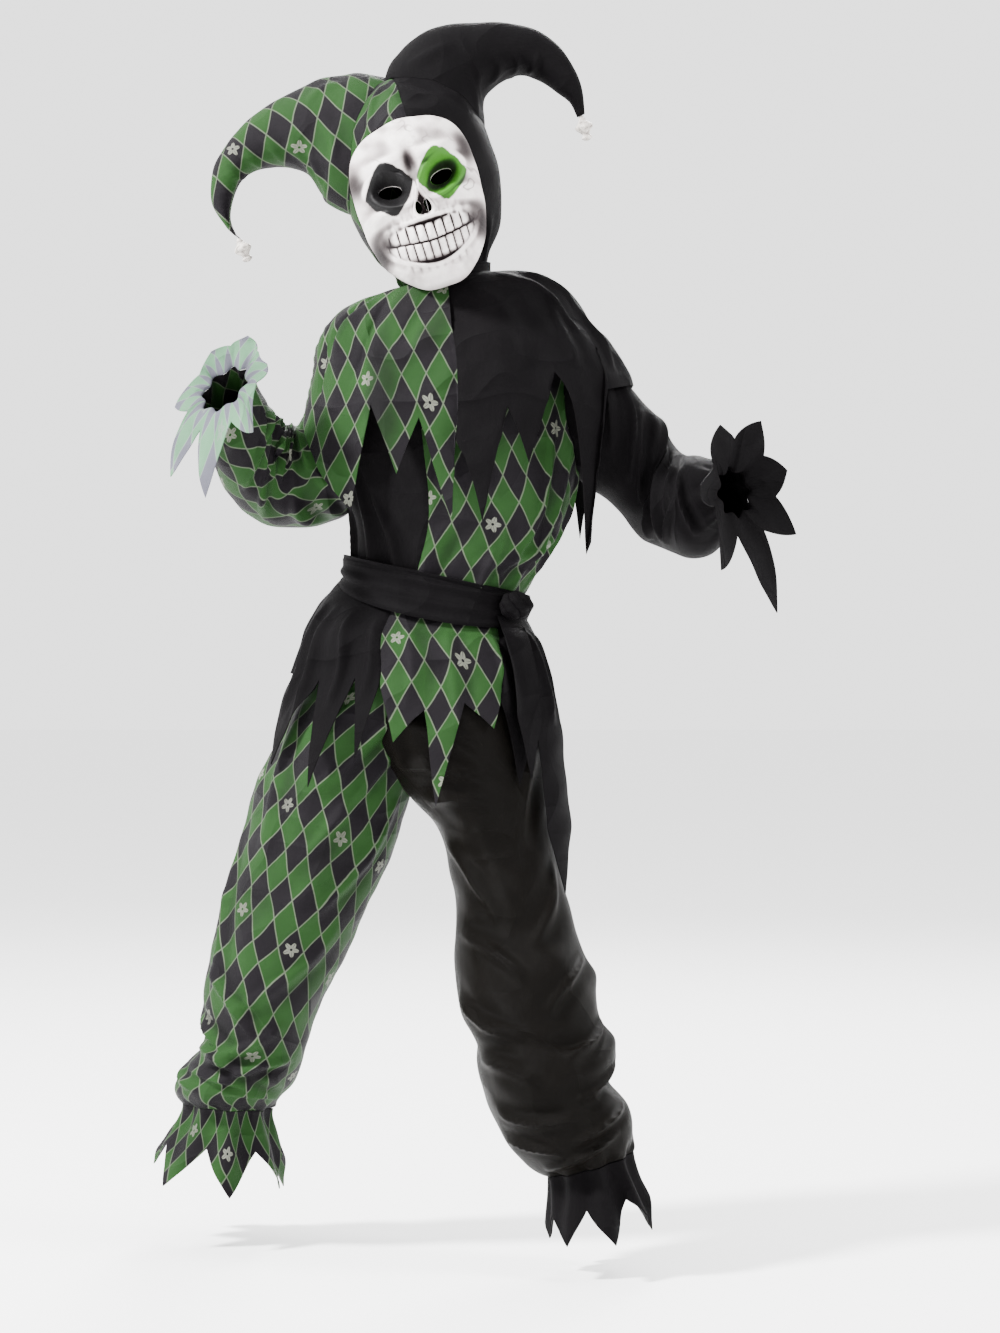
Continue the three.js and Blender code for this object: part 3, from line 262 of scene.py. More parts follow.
# Sharper creases: a line from one place to another (degrees round, ring), half its width, its height in
# millimetres (below nought is a trough) and how far it bows to one side.
CREASE = ("deg0", "ring0", "deg1", "ring1", "wide", "high", "bow")
CREASES = {
    "leg_right": table(CREASE, [
        (300, 2.2, 245, 4.2, 9, 3.5, 6), (318, 2.8, 262, 5.4, 8, 3.0, -8), (330, 3.9, 275, 6.6, 9, 3.2, 10),
        (205, 2.4, 232, 5.6, 10, 2.6, 8), (190, 4.8, 216, 8.2, 9, 2.8, -6), (318, 6.2, 255, 8.4, 10, 3.4, 10),
        (200, 7.6, 262, 8.9, 8, 4.2, 8), (180, 8.5, 240, 9.3, 7, 4.5, -6), (300, 8.2, 238, 9.6, 8, 4.0, 8),
        (195, 9.3, 270, 9.9, 6, 4.4, 5), (325, 9.0, 262, 10.2, 7, 4.0, -6), (215, 10.0, 292, 10.5, 6, 3.8, 5),
        (180, 10.0, 230, 10.7, 6, 3.6, -4), (250, 10.6, 330, 10.9, 6, 3.0, 4), (60, 2.4, 110, 4.6, 11, 3.4, 8),
        (120, 3.2, 80, 6.0, 10, 3.0, -10), (40, 5.6, 96, 8.4, 10, 3.4, 8), (130, 7.2, 70, 9.2, 9, 3.8, 8),
        (30, 9.0, 104, 10.0, 8, 4.2, 6), (150, 9.4, 90, 10.4, 7, 3.8, -6), (20, 10.2, 80, 10.8, 6, 3.4, 4),
    ]),
    "leg_left": table(CREASE, [
        (232, 2.6, 300, 3.4, 10, 4.0, 12), (222, 3.5, 292, 3.9, 9, 3.6, 10), (216, 4.3, 282, 4.4, 9, 3.4, 8),
        (330, 3.0, 290, 5.4, 10, 3.2, -8), (200, 5.2, 252, 7.0, 10, 3.4, 8), (335, 5.8, 285, 7.6, 9, 3.4, 8),
        (205, 7.2, 275, 8.4, 9, 4.4, 8), (345, 8.1, 280, 9.3, 8, 4.6, -8), (195, 8.6, 262, 9.9, 9, 4.2, -6),
        (350, 9.7, 285, 10.6, 7, 4.8, 6), (200, 10.4, 270, 11.2, 8, 4.2, 8), (352, 11.2, 290, 12.0, 7, 4.6, 6),
        (210, 11.8, 285, 12.6, 7, 4.2, -5), (345, 12.6, 270, 13.3, 6, 4.2, 5),
        (195, 12.7, 250, 13.6, 6, 3.8, 4), (320, 13.5, 240, 14.0, 6, 3.4, 4),
        (60, 2.6, 115, 4.4, 11, 3.6, 8), (125, 4.4, 70, 6.8, 10, 3.2, -8),
        (45, 6.6, 110, 8.6, 10, 3.8, 8), (135, 8.2, 70, 10.0, 9, 4.2, 8), (30, 10.0, 105, 11.6, 8, 4.4, 6),
        (145, 11.4, 80, 13.0, 8, 4.0, -6), (25, 12.8, 90, 13.8, 6, 3.6, 4),
    ]),
    "sleeve_right": table(CREASE, [
        (350, 1.9, 290, 1.4, 6, 4.0, 5), (345, 2.4, 268, 2.3, 6, 5.0, 5), (350, 3.0, 280, 3.4, 5, 5.0, -4),
        (345, 3.6, 262, 3.9, 5, 5.4, 5), (340, 4.2, 290, 4.8, 5, 4.8, 4), (350, 4.9, 262, 4.9, 5, 5.0, -5),
        (345, 5.5, 280, 5.7, 5, 4.4, 4), (200, 1.0, 262, 2.2, 8, 4.0, 8), (190, 2.6, 250, 3.2, 8, 4.4, -6),
        (196, 4.0, 256, 5.4, 8, 4.0, 6), (215, 5.4, 290, 6.3, 6, 3.8, 5), (30, 2.0, 100, 3.4, 8, 4.2, 8),
        (120, 3.0, 50, 4.8, 8, 4.2, 6), (20, 4.6, 90, 5.8, 7, 4.2, 6), (150, 4.4, 100, 6.2, 7, 3.6, -5),
    ]),
    "sleeve_left": table(CREASE, [
        (340, 0.6, 255, 1.6, 8, 4.6, 8), (335, 1.4, 240, 2.4, 8, 4.8, 8), (325, 2.2, 232, 3.0, 7, 4.8, -6),
        (345, 2.8, 262, 3.7, 7, 4.4, 6), (250, 3.4, 196, 4.2, 7, 4.2, 5), (330, 3.7, 262, 4.6, 7, 4.6, 6),
        (300, 4.4, 215, 4.9, 7, 4.2, -5), (345, 4.8, 280, 5.6, 6, 4.2, 5), (210, 5.0, 270, 5.9, 6, 4.2, 5),
        (320, 5.8, 240, 6.3, 6, 3.8, 4), (40, 0.9, 110, 2.2, 9, 4.4, 8), (130, 2.0, 60, 3.6, 9, 4.2, 8),
        (30, 3.4, 110, 4.4, 8, 4.4, -6), (140, 4.4, 70, 5.6, 7, 4.0, 6),
    ]),
    "shirt": table(CREASE, [
        (318, 4.6, 302, 8.6, 7, 3.4, 8), (334, 5.0, 322, 8.8, 6, 3.2, -6), (348, 5.2, 338, 8.6, 6, 3.4, 6),
        (286, 6.2, 292, 9.0, 7, 2.8, 6), (268, 6.6, 262, 9.0, 6, 2.6, -5), (206, 5.0, 222, 8.8, 7, 3.2, 8),
        (224, 6.0, 244, 9.0, 6, 3.0, 6), (190, 6.0, 202, 8.6, 6, 3.0, -5), (344, 6.6, 290, 7.8, 8, 3.0, 10),
        (30, 5.0, 44, 8.8, 8, 3.4, 8), (62, 5.6, 70, 9.0, 8, 3.0, -6), (100, 5.2, 92, 8.8, 8, 3.2, 8),
        (128, 5.4, 118, 9.0, 7, 3.2, 6), (156, 5.0, 142, 8.8, 7, 3.2, -6),
    ]),
    "cape": table(CREASE, [
        (296, 1.2, 330, 3.6, 9, 3.4, 10), (310, 0.8, 348, 2.6, 9, 3.2, 8), (262, 1.0, 250, 3.8, 10, 2.6, 8),
        (222, 1.2, 204, 3.8, 9, 3.0, -8), (240, 1.0, 226, 4.6, 9, 2.4, 8), (342, 2.4, 328, 5.4, 10, 3.0, 8),
        (318, 2.2, 306, 5.2, 9, 2.8, -8), (196, 2.4, 206, 5.4, 9, 2.8, 8), (284, 2.0, 288, 5.0, 10, 2.2, 6),
        (50, 1.2, 40, 4.6, 10, 3.2, 8), (74, 1.2, 66, 5.0, 10, 2.8, -8), (104, 1.2, 112, 5.0, 10, 2.8, 8),
        (132, 1.2, 144, 4.6, 10, 3.2, 8), (20, 2.0, 14, 5.2, 9, 3.0, 6), (166, 2.2, 168, 5.0, 9, 2.8, 6),
    ]),
    "skirt": table(CREASE, [
        (196, 0.9, 200, 4.2, 8, 3.6, 6), (212, 0.9, 216, 4.4, 8, 3.4, -6), (228, 0.9, 232, 4.0, 7, 3.4, 6),
        (246, 0.9, 247, 3.8, 7, 2.8, 4), (262, 0.9, 266, 3.9, 7, 2.6, 5), (282, 0.9, 286, 4.2, 8, 2.6, -5),
        (302, 0.9, 308, 3.8, 7, 2.8, 5), (328, 0.9, 332, 4.0, 8, 3.2, 5), (350, 0.9, 351, 4.2, 8, 3.2, 4),
        (28, 0.9, 30, 4.0, 9, 3.4, 6), (52, 0.9, 52, 4.2, 9, 3.2, -6), (76, 0.9, 74, 4.0, 9, 3.4, 6),
        (100, 0.9, 104, 4.2, 9, 3.2, 6), (126, 0.9, 130, 4.0, 9, 3.4, -6), (150, 0.9, 156, 4.2, 9, 3.4, 6),
        (172, 0.9, 174, 4.0, 8, 3.2, 5),
    ]),
    "hood": table(CREASE, [
        (262, 8.6, 302, 6.4, 6, 3.0, 6), (286, 8.3, 322, 6.2, 6, 2.8, -5), (306, 7.8, 340, 5.9, 6, 2.6, 5),
        (250, 7.9, 232, 5.6, 6, 2.6, 5), (340, 1.0, 322, 3.0, 6, 3.0, 5), (10, 0.8, 356, 3.2, 7, 3.2, 6),
        (40, 0.8, 32, 3.4, 8, 3.2, -6), (72, 0.8, 70, 3.2, 8, 3.0, 6), (110, 0.8, 112, 3.4, 8, 3.2, 6),
        (148, 0.8, 150, 3.2, 8, 3.2, -6), (196, 1.0, 200, 2.8, 6, 2.8, 5), (60, 6.8, 100, 7.8, 9, 2.6, 8),
    ]),
    "horn_right": table(CREASE, [
        (240, 1.2, 290, 2.6, 8, 3.4, 8), (205, 1.4, 262, 3.2, 7, 3.2, -6), (190, 2.4, 250, 4.4, 7, 3.0, 6),
        (200, 4.4, 262, 5.6, 6, 2.6, 5), (185, 5.6, 240, 6.6, 5, 2.4, 4), (170, 6.6, 225, 7.6, 4, 2.0, 3),
        (60, 1.4, 120, 2.8, 8, 3.4, 8), (150, 2.2, 90, 4.2, 7, 3.0, 6), (160, 4.4, 110, 5.6, 6, 2.6, -5),
        (320, 1.3, 280, 3.4, 8, 2.8, 6), (40, 2.6, 70, 4.8, 7, 2.6, 6),
    ]),
    "horn_left": table(CREASE, [
        (330, 1.2, 280, 2.8, 8, 3.4, 8), (345, 2.0, 285, 3.8, 7, 3.2, -6), (340, 3.4, 280, 4.8, 7, 3.0, 6),
        (350, 4.8, 290, 5.8, 6, 2.6, 5), (345, 6.2, 290, 7.2, 5, 2.4, 4), (230, 1.4, 262, 3.6, 8, 2.8, 6),
        (30, 1.4, 90, 2.8, 8, 3.4, 8), (20, 2.8, 80, 4.4, 7, 3.0, 6), (15, 4.6, 70, 5.8, 6, 2.6, -5),
        (130, 1.4, 100, 3.4, 8, 2.8, 6),
    ]),
}

HEAD_TILT = math.radians(17.5)
HEAD_CENTRE = np.array([-24.0, -18.0, 102.0])
HEAD_SIDE = np.array([math.cos(HEAD_TILT), 0, math.sin(HEAD_TILT)])
HEAD_UP = np.array([-math.sin(HEAD_TILT), 0, math.cos(HEAD_TILT)])
HOOD_RINGS = table(("side", "y", "up", "half", "depth"), [
    (-8, 18, -122, 50, 50), (-7, 18, -103, 50, 50), (-5, 14, -80, 58, 62), (-2, 6, -46, 80, 86),
    (0, 0, 0, 92, 103), (2, 0, 43, 90, 107), (4, 2, 87, 82, 99), (4, 4, 118, 62, 77), (3, 5, 138, 38, 48),
    (3, 5, 147, 8, 10),
])


def unit(vectors):
    return vectors / np.maximum(np.linalg.norm(vectors, axis=-1, keepdims=True), 1e-9)


def smooth(low, high, x):
    """0 below low, 1 above high, and an easy S between them."""
    t = np.clip((x - low) / (high - low), 0, 1)
    return t * t * (3 - 2 * t)


def along(column, v):
    """A Catmull-Rom curve through a column of a table, running straight on beyond both ends."""
    padded = np.concatenate(([2 * column[0] - column[1]], column, [2 * column[-1] - column[-2]]))
    i = np.clip(np.floor(v), 0, len(column) - 2).astype(int)
    t = v - i
    a, b, c, d = (padded[i + k] for k in range(4))
    curve = b + 0.5 * t * (c - a + t * (2 * a - 5 * b + 4 * c - d + t * (3 * (b - c) + d - a)))
    return np.where((t < 0) | (t > 1), b + t * (c - b), curve)


def fold_height(folds, theta, v):
    """The sum of soft bumps, each falling off as exp(-2 distance squared) in degrees and rings."""
    height = np.zeros(np.broadcast(theta, v).shape)
    for at, ring, wide, long, slant, out in zip(*folds.values()):
        away = np.degrees(theta) - at - slant * (v - ring)
        away = (away + 180) % 360 - 180
        height += out * np.exp(-2 * ((away / wide) ** 2 + ((v - ring) / long) ** 2))
    return height


class Tube:
    """Cloth rings: theta turns from a ring's right point by the back, and v counts the rings of its table."""

    def __init__(self, rings, power=2.0, folds=None, gathers=None, creases=None, relief=None, drape=1.0):
        self.rings, self.power, self.folds, self.gathers = rings, power, folds, gathers
        self.creases, self.relief, self.drape = creases, relief, drape
        self.last = len(rings["y"]) - 1
        steps = np.linspace(0, self.last, 40 * self.last + 1)
        path = np.linalg.norm(np.diff(self.middle(steps), axis=0), axis=1)
        self.steps, self.path = steps, np.concatenate(([0], np.cumsum(path)))

    def middle(self, v):
        rings = self.rings
        x = (along(rings["left_x"], v) + along(rings["right_x"], v)) / 2
        z = (along(rings["left_z"], v) + along(rings["right_z"], v)) / 2
        return np.stack([x, along(rings["y"], v), z], -1)

    def length(self, v):
        return np.interp(v, self.steps, self.path)

    def arm(self, theta, v):
        """From the ring's middle: half its breadth times cos and its depth times sin, on a rounded square."""
        rings = self.rings
        centre = self.middle(v)
        right = np.stack([along(rings["right_x"], v), centre[..., 1], along(rings["right_z"], v)], -1)
        across = right - centre
        onward = (self.middle(v + 0.2) - self.middle(v - 0.2)) * [1, 0, 1]
        side = unit(across)
        onward = unit(onward - side * np.sum(onward * side, -1, keepdims=True))
        lean = np.radians(along(rings["lean"], v))
        back = np.stack([0 * lean, np.cos(lean), 0 * lean], -1) + onward * np.sin(lean)[..., None]
        turn_x, turn_y = np.cos(theta), np.sin(theta)
        rounded = [np.sign(t) * np.abs(t) ** (2 / self.power) for t in (turn_x, turn_y)]
        return across * rounded[0][..., None] + back * (along(rings["depth"], v) * rounded[1])[..., None]

    def __call__(self, theta, v):
        theta, v = np.broadcast_arrays(np.asarray(theta, float), np.asarray(v, float))
        arm = self.arm(theta, v)
        out = np.zeros(theta.shape)
        if self.folds is not None:
            out = out + fold_height(self.folds, theta, v)
        if self.gathers:
            count, height, reach = self.gathers
            out = out + height * smooth(self.last - reach, self.last, v) * np.cos(count * theta)
        return self.middle(v) + arm + unit(arm) * out[..., None]


class Hood(Tube):
    """Rings square to the head's axis, which leans to the wearer's right."""

    def middle(self, v):
        rings = self.rings
        return (HEAD_CENTRE + along(rings["side"], v)[..., None] * HEAD_SIDE
                + along(rings["up"], v)[..., None] * HEAD_UP + along(rings["y"], v)[..., None] * [0, 1, 0])

    def arm(self, theta, v):
        rings = self.rings
        return (HEAD_SIDE * (along(rings["half"], v) * np.cos(theta))[..., None]
                + np.array([0, 1, 0]) * (along(rings["depth"], v) * np.sin(theta))[..., None])


class Cuff:
    """From the limb's last ring on along it, spreading out at once and falling more the further it goes."""

    def __init__(self, tube, onward, spread, fall, aside, waves, ripple):
        self.tube, self.onward, self.spread, self.fall = tube, onward, spread, fall
        self.aside, self.waves, self.ripple, self.last = aside, waves, ripple, 1
        self.creases, self.relief, self.drape = None, None, 1.0
        self.centre = tube.middle(np.array(float(tube.last)))
        self.way = unit(self.centre - tube.middle(np.array(tube.last - 0.3)))

    def middle(self, v):
        return self.centre + self.way * self.onward * np.asarray(v, float)[..., None]

    def length(self, v):
        return np.asarray(v, float) * self.onward

    def __call__(self, theta, v):
        theta, v = np.broadcast_arrays(np.asarray(theta, float), np.asarray(v, float))
        start = self.tube(theta, np.full(theta.shape, float(self.tube.last)))
        before = self.tube(theta, np.full(theta.shape, self.tube.last - 0.02))
        axis = unit(unit(start - before) * 0.2 + self.way * 0.8)
        out = unit(start - self.centre)
        opened = self.spread * (np.sqrt(v * v + 0.02) - math.sqrt(0.02))
        opened = opened + self.ripple * np.sin(self.waves * theta) * v
        drop = self.fall * v * v * (0.5 - 0.5 * out[..., 2])
        place = start + axis * (self.onward * v)[..., None] + out * opened[..., None]
        return place + np.stack([self.aside * v, 0 * v, -drop], -1)


# How much higher the creases stand than their tables say.
CREASE_SCALE = 1.8


def crease_height(creases, surface, theta, v, points):
    """Ridges along short bowed lines, steeper on one side, each with a shallow trough beside it."""
    radius = np.linalg.norm(points - surface.middle(v), axis=-1)
    down = surface.length(v)
    height = np.zeros(theta.shape)
    for deg0, ring0, deg1, ring1, wide, high, bow in zip(*creases.values()):
        turned = np.radians((np.degrees(theta) - deg0 + 180) % 360 - 180) * radius
        run_x = math.radians(deg1 - deg0) * float(np.median(radius))
        run_y = float(surface.length(ring1) - surface.length(ring0))
        run = math.hypot(run_x, run_y)
        x, y = turned, down - float(surface.length(ring0))
        t = (x * run_x + y * run_y) / run**2
        beside = (x * run_y - y * run_x) / run - bow * 4 * t * (1 - t)
        taper = np.clip(1 - (2 * t - 1) ** 2, 0, 1) ** 0.8
        steep = np.where(beside > 0, wide, wide * 0.6)
        trough = np.exp(-(((beside - 1.9 * wide) / (1.1 * wide)) ** 2))
        ridge = np.exp(-((beside / steep) ** 2)) - 0.45 * trough
        height += CREASE_SCALE * surface.drape * high * taper * ridge
    return height


def grid_normals(points, closed):
    """Cross product of the steps round and down the grid."""
    if closed:
        round_step = np.roll(points, -1, axis=1) - np.roll(points, 1, axis=1)
    else:
        round_step = np.gradient(points, axis=1)
    return unit(np.cross(round_step, np.gradient(points, axis=0)))


def turned_out(points, normals, surface, v):
    """The normals, all turned to point away from the tube's middle, judged at the first rows."""
    outward = np.sum(normals[1] * (points[1] - surface.middle(v[1])), axis=-1)
    return normals * np.sign(np.median(outward))


def lay_grid(columns, rows):
    """theta and v of a grid whose columns run straight from (top, start) to (angle, end)."""
    t = np.linspace(0, 1, rows + 1)[:, None]
    theta = columns["top"] + (columns["angle"] - columns["top"]) * t
    v = columns["start"] + (columns["end"] - columns["start"]) * t
    return theta, v


def even_columns(low, high, count, start, end, closed=False):
    angle = np.radians(np.linspace(low, high, count, endpoint=not closed))
    return {"top": angle, "angle": angle, "start": 0 * angle + start, "end": 0 * angle + end}


def locate(surface, x, z, side):
    """The angle and ring where a surface passes a point of the front view, by a search that narrows."""
    middle, best, reach = 90.0 * side, (90.0 * side, surface.last / 2), (90.0, surface.last / 2)
    for _ in range(7):
        angles = np.clip(best[0] + np.linspace(-reach[0], reach[0], 61), middle - 90, middle + 90)
        rings = np.clip(best[1] + np.linspace(-reach[1], reach[1], 61), 0.2, surface.last)
        theta, v = np.meshgrid(np.radians(angles), rings)
        points = surface(theta, v)
        miss = np.hypot(points[..., 0] - x, points[..., 2] - z)
        k = np.unravel_index(np.argmin(miss), miss.shape)
        best = (angles[k[1]], rings[k[0]])
        reach = (reach[0] / 5, reach[1] / 5)
    return math.radians(best[0]), best[1]


def dag_columns(surface, dags, cuts):
    """Columns of a dagged panel: straight steps from each notch to the next tip.

    A point that hangs from a side line stays on that line, so that the panels in front and behind it meet.
    """
    places = []
    for x, z, side, top in zip(*dags.values()):
        theta, v = locate(surface, x, z, side)
        hung = math.radians(top)
        theta = hung if top % 180 == 0 else theta + TURN * round((hung - theta) / TURN)
        places.append((hung, theta, v))
    places = np.array(places)
    steps = np.linspace(0, len(places) - 1, cuts * (len(places) - 1) + 1)
    top, angle, end = (np.interp(steps, np.arange(len(places)), places[:, k]) for k in range(3))
    return {"top": top, "angle": angle, "end": end, "start": 0 * end}


def cloth_map(surface, theta, v, reference, level=None, gathered=False):
    """Each place in the cloth, in metres: the way round from a reference angle, and the way down the tube.

    Both are lengths along the bare surface, summed on an even grid and read off between its points. With a
    level, the way down is counted from that height, so that the print's rows lie level on the body. Gathered
    cloth keeps its hem's width right up to the elastic.
    """
    angles = reference + np.linspace(-math.pi, math.pi, 361)
    rings = np.linspace(min(0.0, float(v.min())), float(v.max()) + 0.05, 201)
    points = surface(angles[None, :], rings[:, None])
    steps = np.linalg.norm(np.diff(points, axis=1), axis=-1)
    across = np.concatenate([np.zeros((len(rings), 1)), np.cumsum(steps, axis=1)], axis=1)
    across = across - across[:, 180:181]
    if gathered:
        across = np.broadcast_to(across[-20:].mean(axis=0), across.shape)
    fall = np.linalg.norm(np.diff(points, axis=0), axis=-1)
    down = np.concatenate([np.zeros((1, len(angles))), np.cumsum(fall, axis=0)], axis=0)
    if level is None:
        down = np.repeat(down.mean(axis=1, keepdims=True), len(angles), axis=1)
    else:
        nearest = np.argmin(np.abs(points[..., 2] - level), axis=0)
        columns = np.arange(len(angles))
        down = down - down[nearest, columns] - (points[nearest, columns, 2] - level)
    i = np.clip((theta - angles[0]) / (angles[1] - angles[0]), 0, 359.999)
    j = np.clip((v - rings[0]) / (rings[1] - rings[0]), 0, 199.999)
    i0, j0 = i.astype(int), j.astype(int)
    fi, fj = i - i0, j - j0

    def read(grid):
        near = grid[j0, i0] * (1 - fi) + grid[j0, i0 + 1] * fi
        far = grid[j0 + 1, i0] * (1 - fi) + grid[j0 + 1, i0 + 1] * fi
        return near * (1 - fj) + far * fj

    return np.stack([read(across), read(down)], -1) * MM


def closed_grid(theta, v):
    """Angles and rings of a closed tube, with the first column again at the end for the map's seam."""
    return np.concatenate([theta, theta[:, :1] + TURN], axis=1), np.concatenate([v, v[:, :1]], axis=1)


def pattern_map(surface, theta, v):
    """Places on the two flat patterns of a stuffed piece, front and back, which are sewn along its outline.

    Each place moves out from the tube's middle line towards its seam by its length round the tube, and the
    patterns lie along the head's own two directions.
    """
    turn = np.mod(theta, TURN)
    away = np.where(turn >= math.pi, turn - 1.5 * math.pi, 0.5 * math.pi - turn)
    middle, rings = surface.middle(v), surface.rings
    right = np.stack([along(rings["right_x"], v), middle[..., 1], along(rings["right_z"], v)], -1)
    place = middle + (right - middle) * away[..., None]
    return np.stack([place @ HEAD_SIDE, -(place @ HEAD_UP)], -1) * MM


def make_object(name, points, faces, corners_map=None, material_of_face=None, sharp=50):
    """A mesh object at the origin from points in millimetres."""
    mesh = bpy.data.meshes.new(name)
    mesh.from_pydata((points * MM).tolist(), [], faces if isinstance(faces, list) else faces.tolist())
    if corners_map is not None:
        layer = mesh.uv_layers.new(name="cloth")
        layer.data.foreach_set("uv", corners_map.astype(np.float32).ravel())
    if material_of_face is not None:
        mesh.polygons.foreach_set("material_index", material_of_face.astype(np.int32))
    mesh.shade_smooth()
    mesh.set_sharp_from_angle(angle=math.radians(sharp))
    mesh.validate()
    obj = bpy.data.objects.new(name, mesh)
    bpy.context.scene.collection.objects.link(obj)
    return obj


def wall_object(name, outer, inner, uv, closed):
    """A closed wall between two grids: the faces outside come first and take the first material."""
    rows, count = outer.shape[:2]
    index = np.arange(rows * count).reshape(rows, count)
    if closed:
        index = np.concatenate([index, index[:, :1]], axis=1)
    place = np.arange(uv.shape[0] * uv.shape[1]).reshape(uv.shape[:2])

    def quads(grid, shift=0):
        corners = (grid[:-1, :-1], grid[:-1, 1:], grid[1:, 1:], grid[1:, :-1])
        return np.stack(corners, -1).reshape(-1, 4) + shift

    def rim(a, b, ua, ub):
        faces = np.stack([b, a, a + rows * count, b + rows * count], -1)
        return faces, np.stack([ub, ua, ua, ub], -1)

    edges = [rim(index[0, :-1], index[0, 1:], place[0, :-1], place[0, 1:]),
             rim(index[-1, 1:], index[-1, :-1], place[-1, 1:], place[-1, :-1])]
    if not closed:
        edges.append(rim(index[1:, 0], index[:-1, 0], place[1:, 0], place[:-1, 0]))
        edges.append(rim(index[:-1, -1], index[1:, -1], place[:-1, -1], place[1:, -1]))
    outside, inside = quads(index), quads(index, rows * count)[:, ::-1]
    faces = np.concatenate([outside, inside] + [e[0] for e in edges])
    places = np.concatenate([quads(place), quads(place)[:, ::-1]] + [e[1] for e in edges])
    points = np.concatenate([outer.reshape(-1, 3), inner.reshape(-1, 3)])
    a, b, c = (points[outside[:, k]] for k in (0, 1, 3))
    if np.sum(np.cross(b - a, c - a) * (a - points[outside[:, 0] + rows * count])) < 0:
        faces, places = faces[:, ::-1], places[:, ::-1]
    which = np.ones(len(faces))
    which[: len(outside)] = 0
    return make_object(name, points, faces, uv.reshape(-1, 2)[places.ravel()], which)


def drape(points):
    """Slow unevenness of hanging cloth: five sines of the place in space, each under a millimetre high."""
    x, y, z = points[..., 0], points[..., 1], points[..., 2]
    slow = 0.7 * np.sin(x / 21 + z / 34) + 0.6 * np.sin(z / 17 - x / 40 + y / 30)
    quick = 0.35 * np.sin((x - z) / 9 + y / 15) + 0.3 * np.sin((x + z) / 7.3 - y / 19)
    return slow + 0.5 * np.sin(y / 13 + z / 25) + quick


def dressed(surface, theta, v, closed, lift=0.0):
    """The surface, the same moved out by its creases, relief and drape, its normals, and those heights."""
    points = surface(theta, v)
    normals = turned_out(points, grid_normals(points, closed), surface, v)
    height = surface.drape * drape(points) + lift
    if surface.creases is not None:
        height = height + crease_height(surface.creases, surface, theta, v, points)
    if surface.relief is not None:
        height = height + surface.relief(theta, v)
    moved = points + normals * height[..., None]
    return points, moved, turned_out(moved, grid_normals(moved, closed), surface, v), height


FOLD_DEPTH = 4.0


def keep_folds(obj, height, copies, more=0):
    """Stores how deep each point lies in a fold, 0 to 1: its height under the median, by FOLD_DEPTH. The print
    paints shade in the folds by it.
    """
    deep = np.clip((np.median(height) - height.ravel()) / FOLD_DEPTH, 0, 1)
    layer = obj.data.attributes.new("fold", "FLOAT", "POINT")
    layer.data.foreach_set("value", np.concatenate([deep] * copies + [np.zeros(more)]).astype(np.float32))
    return obj


# Seams: how far from the edge the cloth is drawn in, how deep, the stitches' pucker, the gap between panels.
SEAM_REACH, SEAM_DEPTH, STITCH, SEAM_GAP = 3.5, 1.1, 2.1, 0.3


def cloth_piece(name, surface, columns, rows, closed=False, wall=CLOTH, lift=0.0, reference=None, level=None,
                seams=True, gathered=False):
    """A cloth panel between its outer surface and the same moved in by its wall, drawn in at its seams."""
    theta, v = lay_grid(columns, rows)
    points, moved, normals, height = dressed(surface, theta, v, closed, lift)
    if reference is None:
        reference = math.degrees(float(theta.mean()))
    spread = closed_grid(theta, v) if closed else (theta, v)
    uv = cloth_map(surface, *spread, math.radians(reference), level, gathered)
    if seams and not closed:
        across = np.concatenate([np.zeros((len(points), 1)),
                                 np.cumsum(np.linalg.norm(np.diff(points, axis=1), axis=-1), axis=1)], axis=1)
        down = uv[..., 1] / MM
        for edge in (across, across[:, -1:] - across):
            drawn = np.exp(-((edge / SEAM_REACH) ** 2)) * (SEAM_DEPTH + 0.5 * np.sin(down / STITCH))
            moved = moved - normals * drawn[..., None]
    gap = SEAM_GAP / 2 / np.maximum(np.linalg.norm(np.diff(moved, axis=1), axis=-1), 0.3)
    if not closed:
        moved[:, 0] += (moved[:, 1] - moved[:, 0]) * gap[:, :1]
        moved[:, -1] += (moved[:, -2] - moved[:, -1]) * gap[:, -1:]
    inner = moved - normals * wall
    return keep_folds(wall_object(name, moved, inner, uv, closed), height, 2)


def filled_form(name, surface, columns, rows, grow=0.35, stuffed=False):
    """A closed tube filled to its middle: its dressed surface, with a fan over each end."""
    theta, v = lay_grid(columns, rows)
    points, moved, normals, height = dressed(surface, theta, v, True, grow)
    spread = closed_grid(theta, v)
    uv = pattern_map(surface, *spread) if stuffed else cloth_map(surface, *spread, math.pi)
    total, count = points.shape[:2]
    index = np.arange(total * count).reshape(total, count)
    index = np.concatenate([index, index[:, :1]], axis=1)
    place = np.arange(total * (count + 1)).reshape(total, count + 1)

    def quads(g):
        return np.stack([g[:-1, :-1], g[:-1, 1:], g[1:, 1:], g[1:, :-1]], -1).reshape(-1, 4)

    ends = np.array([moved[0].mean(axis=0), moved[-1].mean(axis=0)])
    all_points = np.concatenate([moved.reshape(-1, 3), ends])
    faces = [quads(index), np.stack([index[0, 1:], index[0, :-1], np.full(count, total * count)], -1),
             np.stack([index[-1, :-1], index[-1, 1:], np.full(count, total * count + 1)], -1)]
    places = [quads(place), np.stack([place[0, 1:], place[0, :-1], place[0, :-1]], -1),
              np.stack([place[-1, :-1], place[-1, 1:], place[-1, :-1]], -1)]
    a, b, c = (all_points[faces[0][:, k]] for k in (0, 1, 3))
    if np.sum(np.cross(b - a, c - a) * normals[:-1].reshape(-1, 3)) < 0:
        faces, places = [f[:, ::-1] for f in faces], [m[:, ::-1] for m in places]
    rows_of = [row for f in faces for row in f.tolist()]
    corners = np.concatenate([m.ravel() for m in places])
    return keep_folds(make_object(name, all_points, rows_of, uv.reshape(-1, 2)[corners]), height, 1, 2)


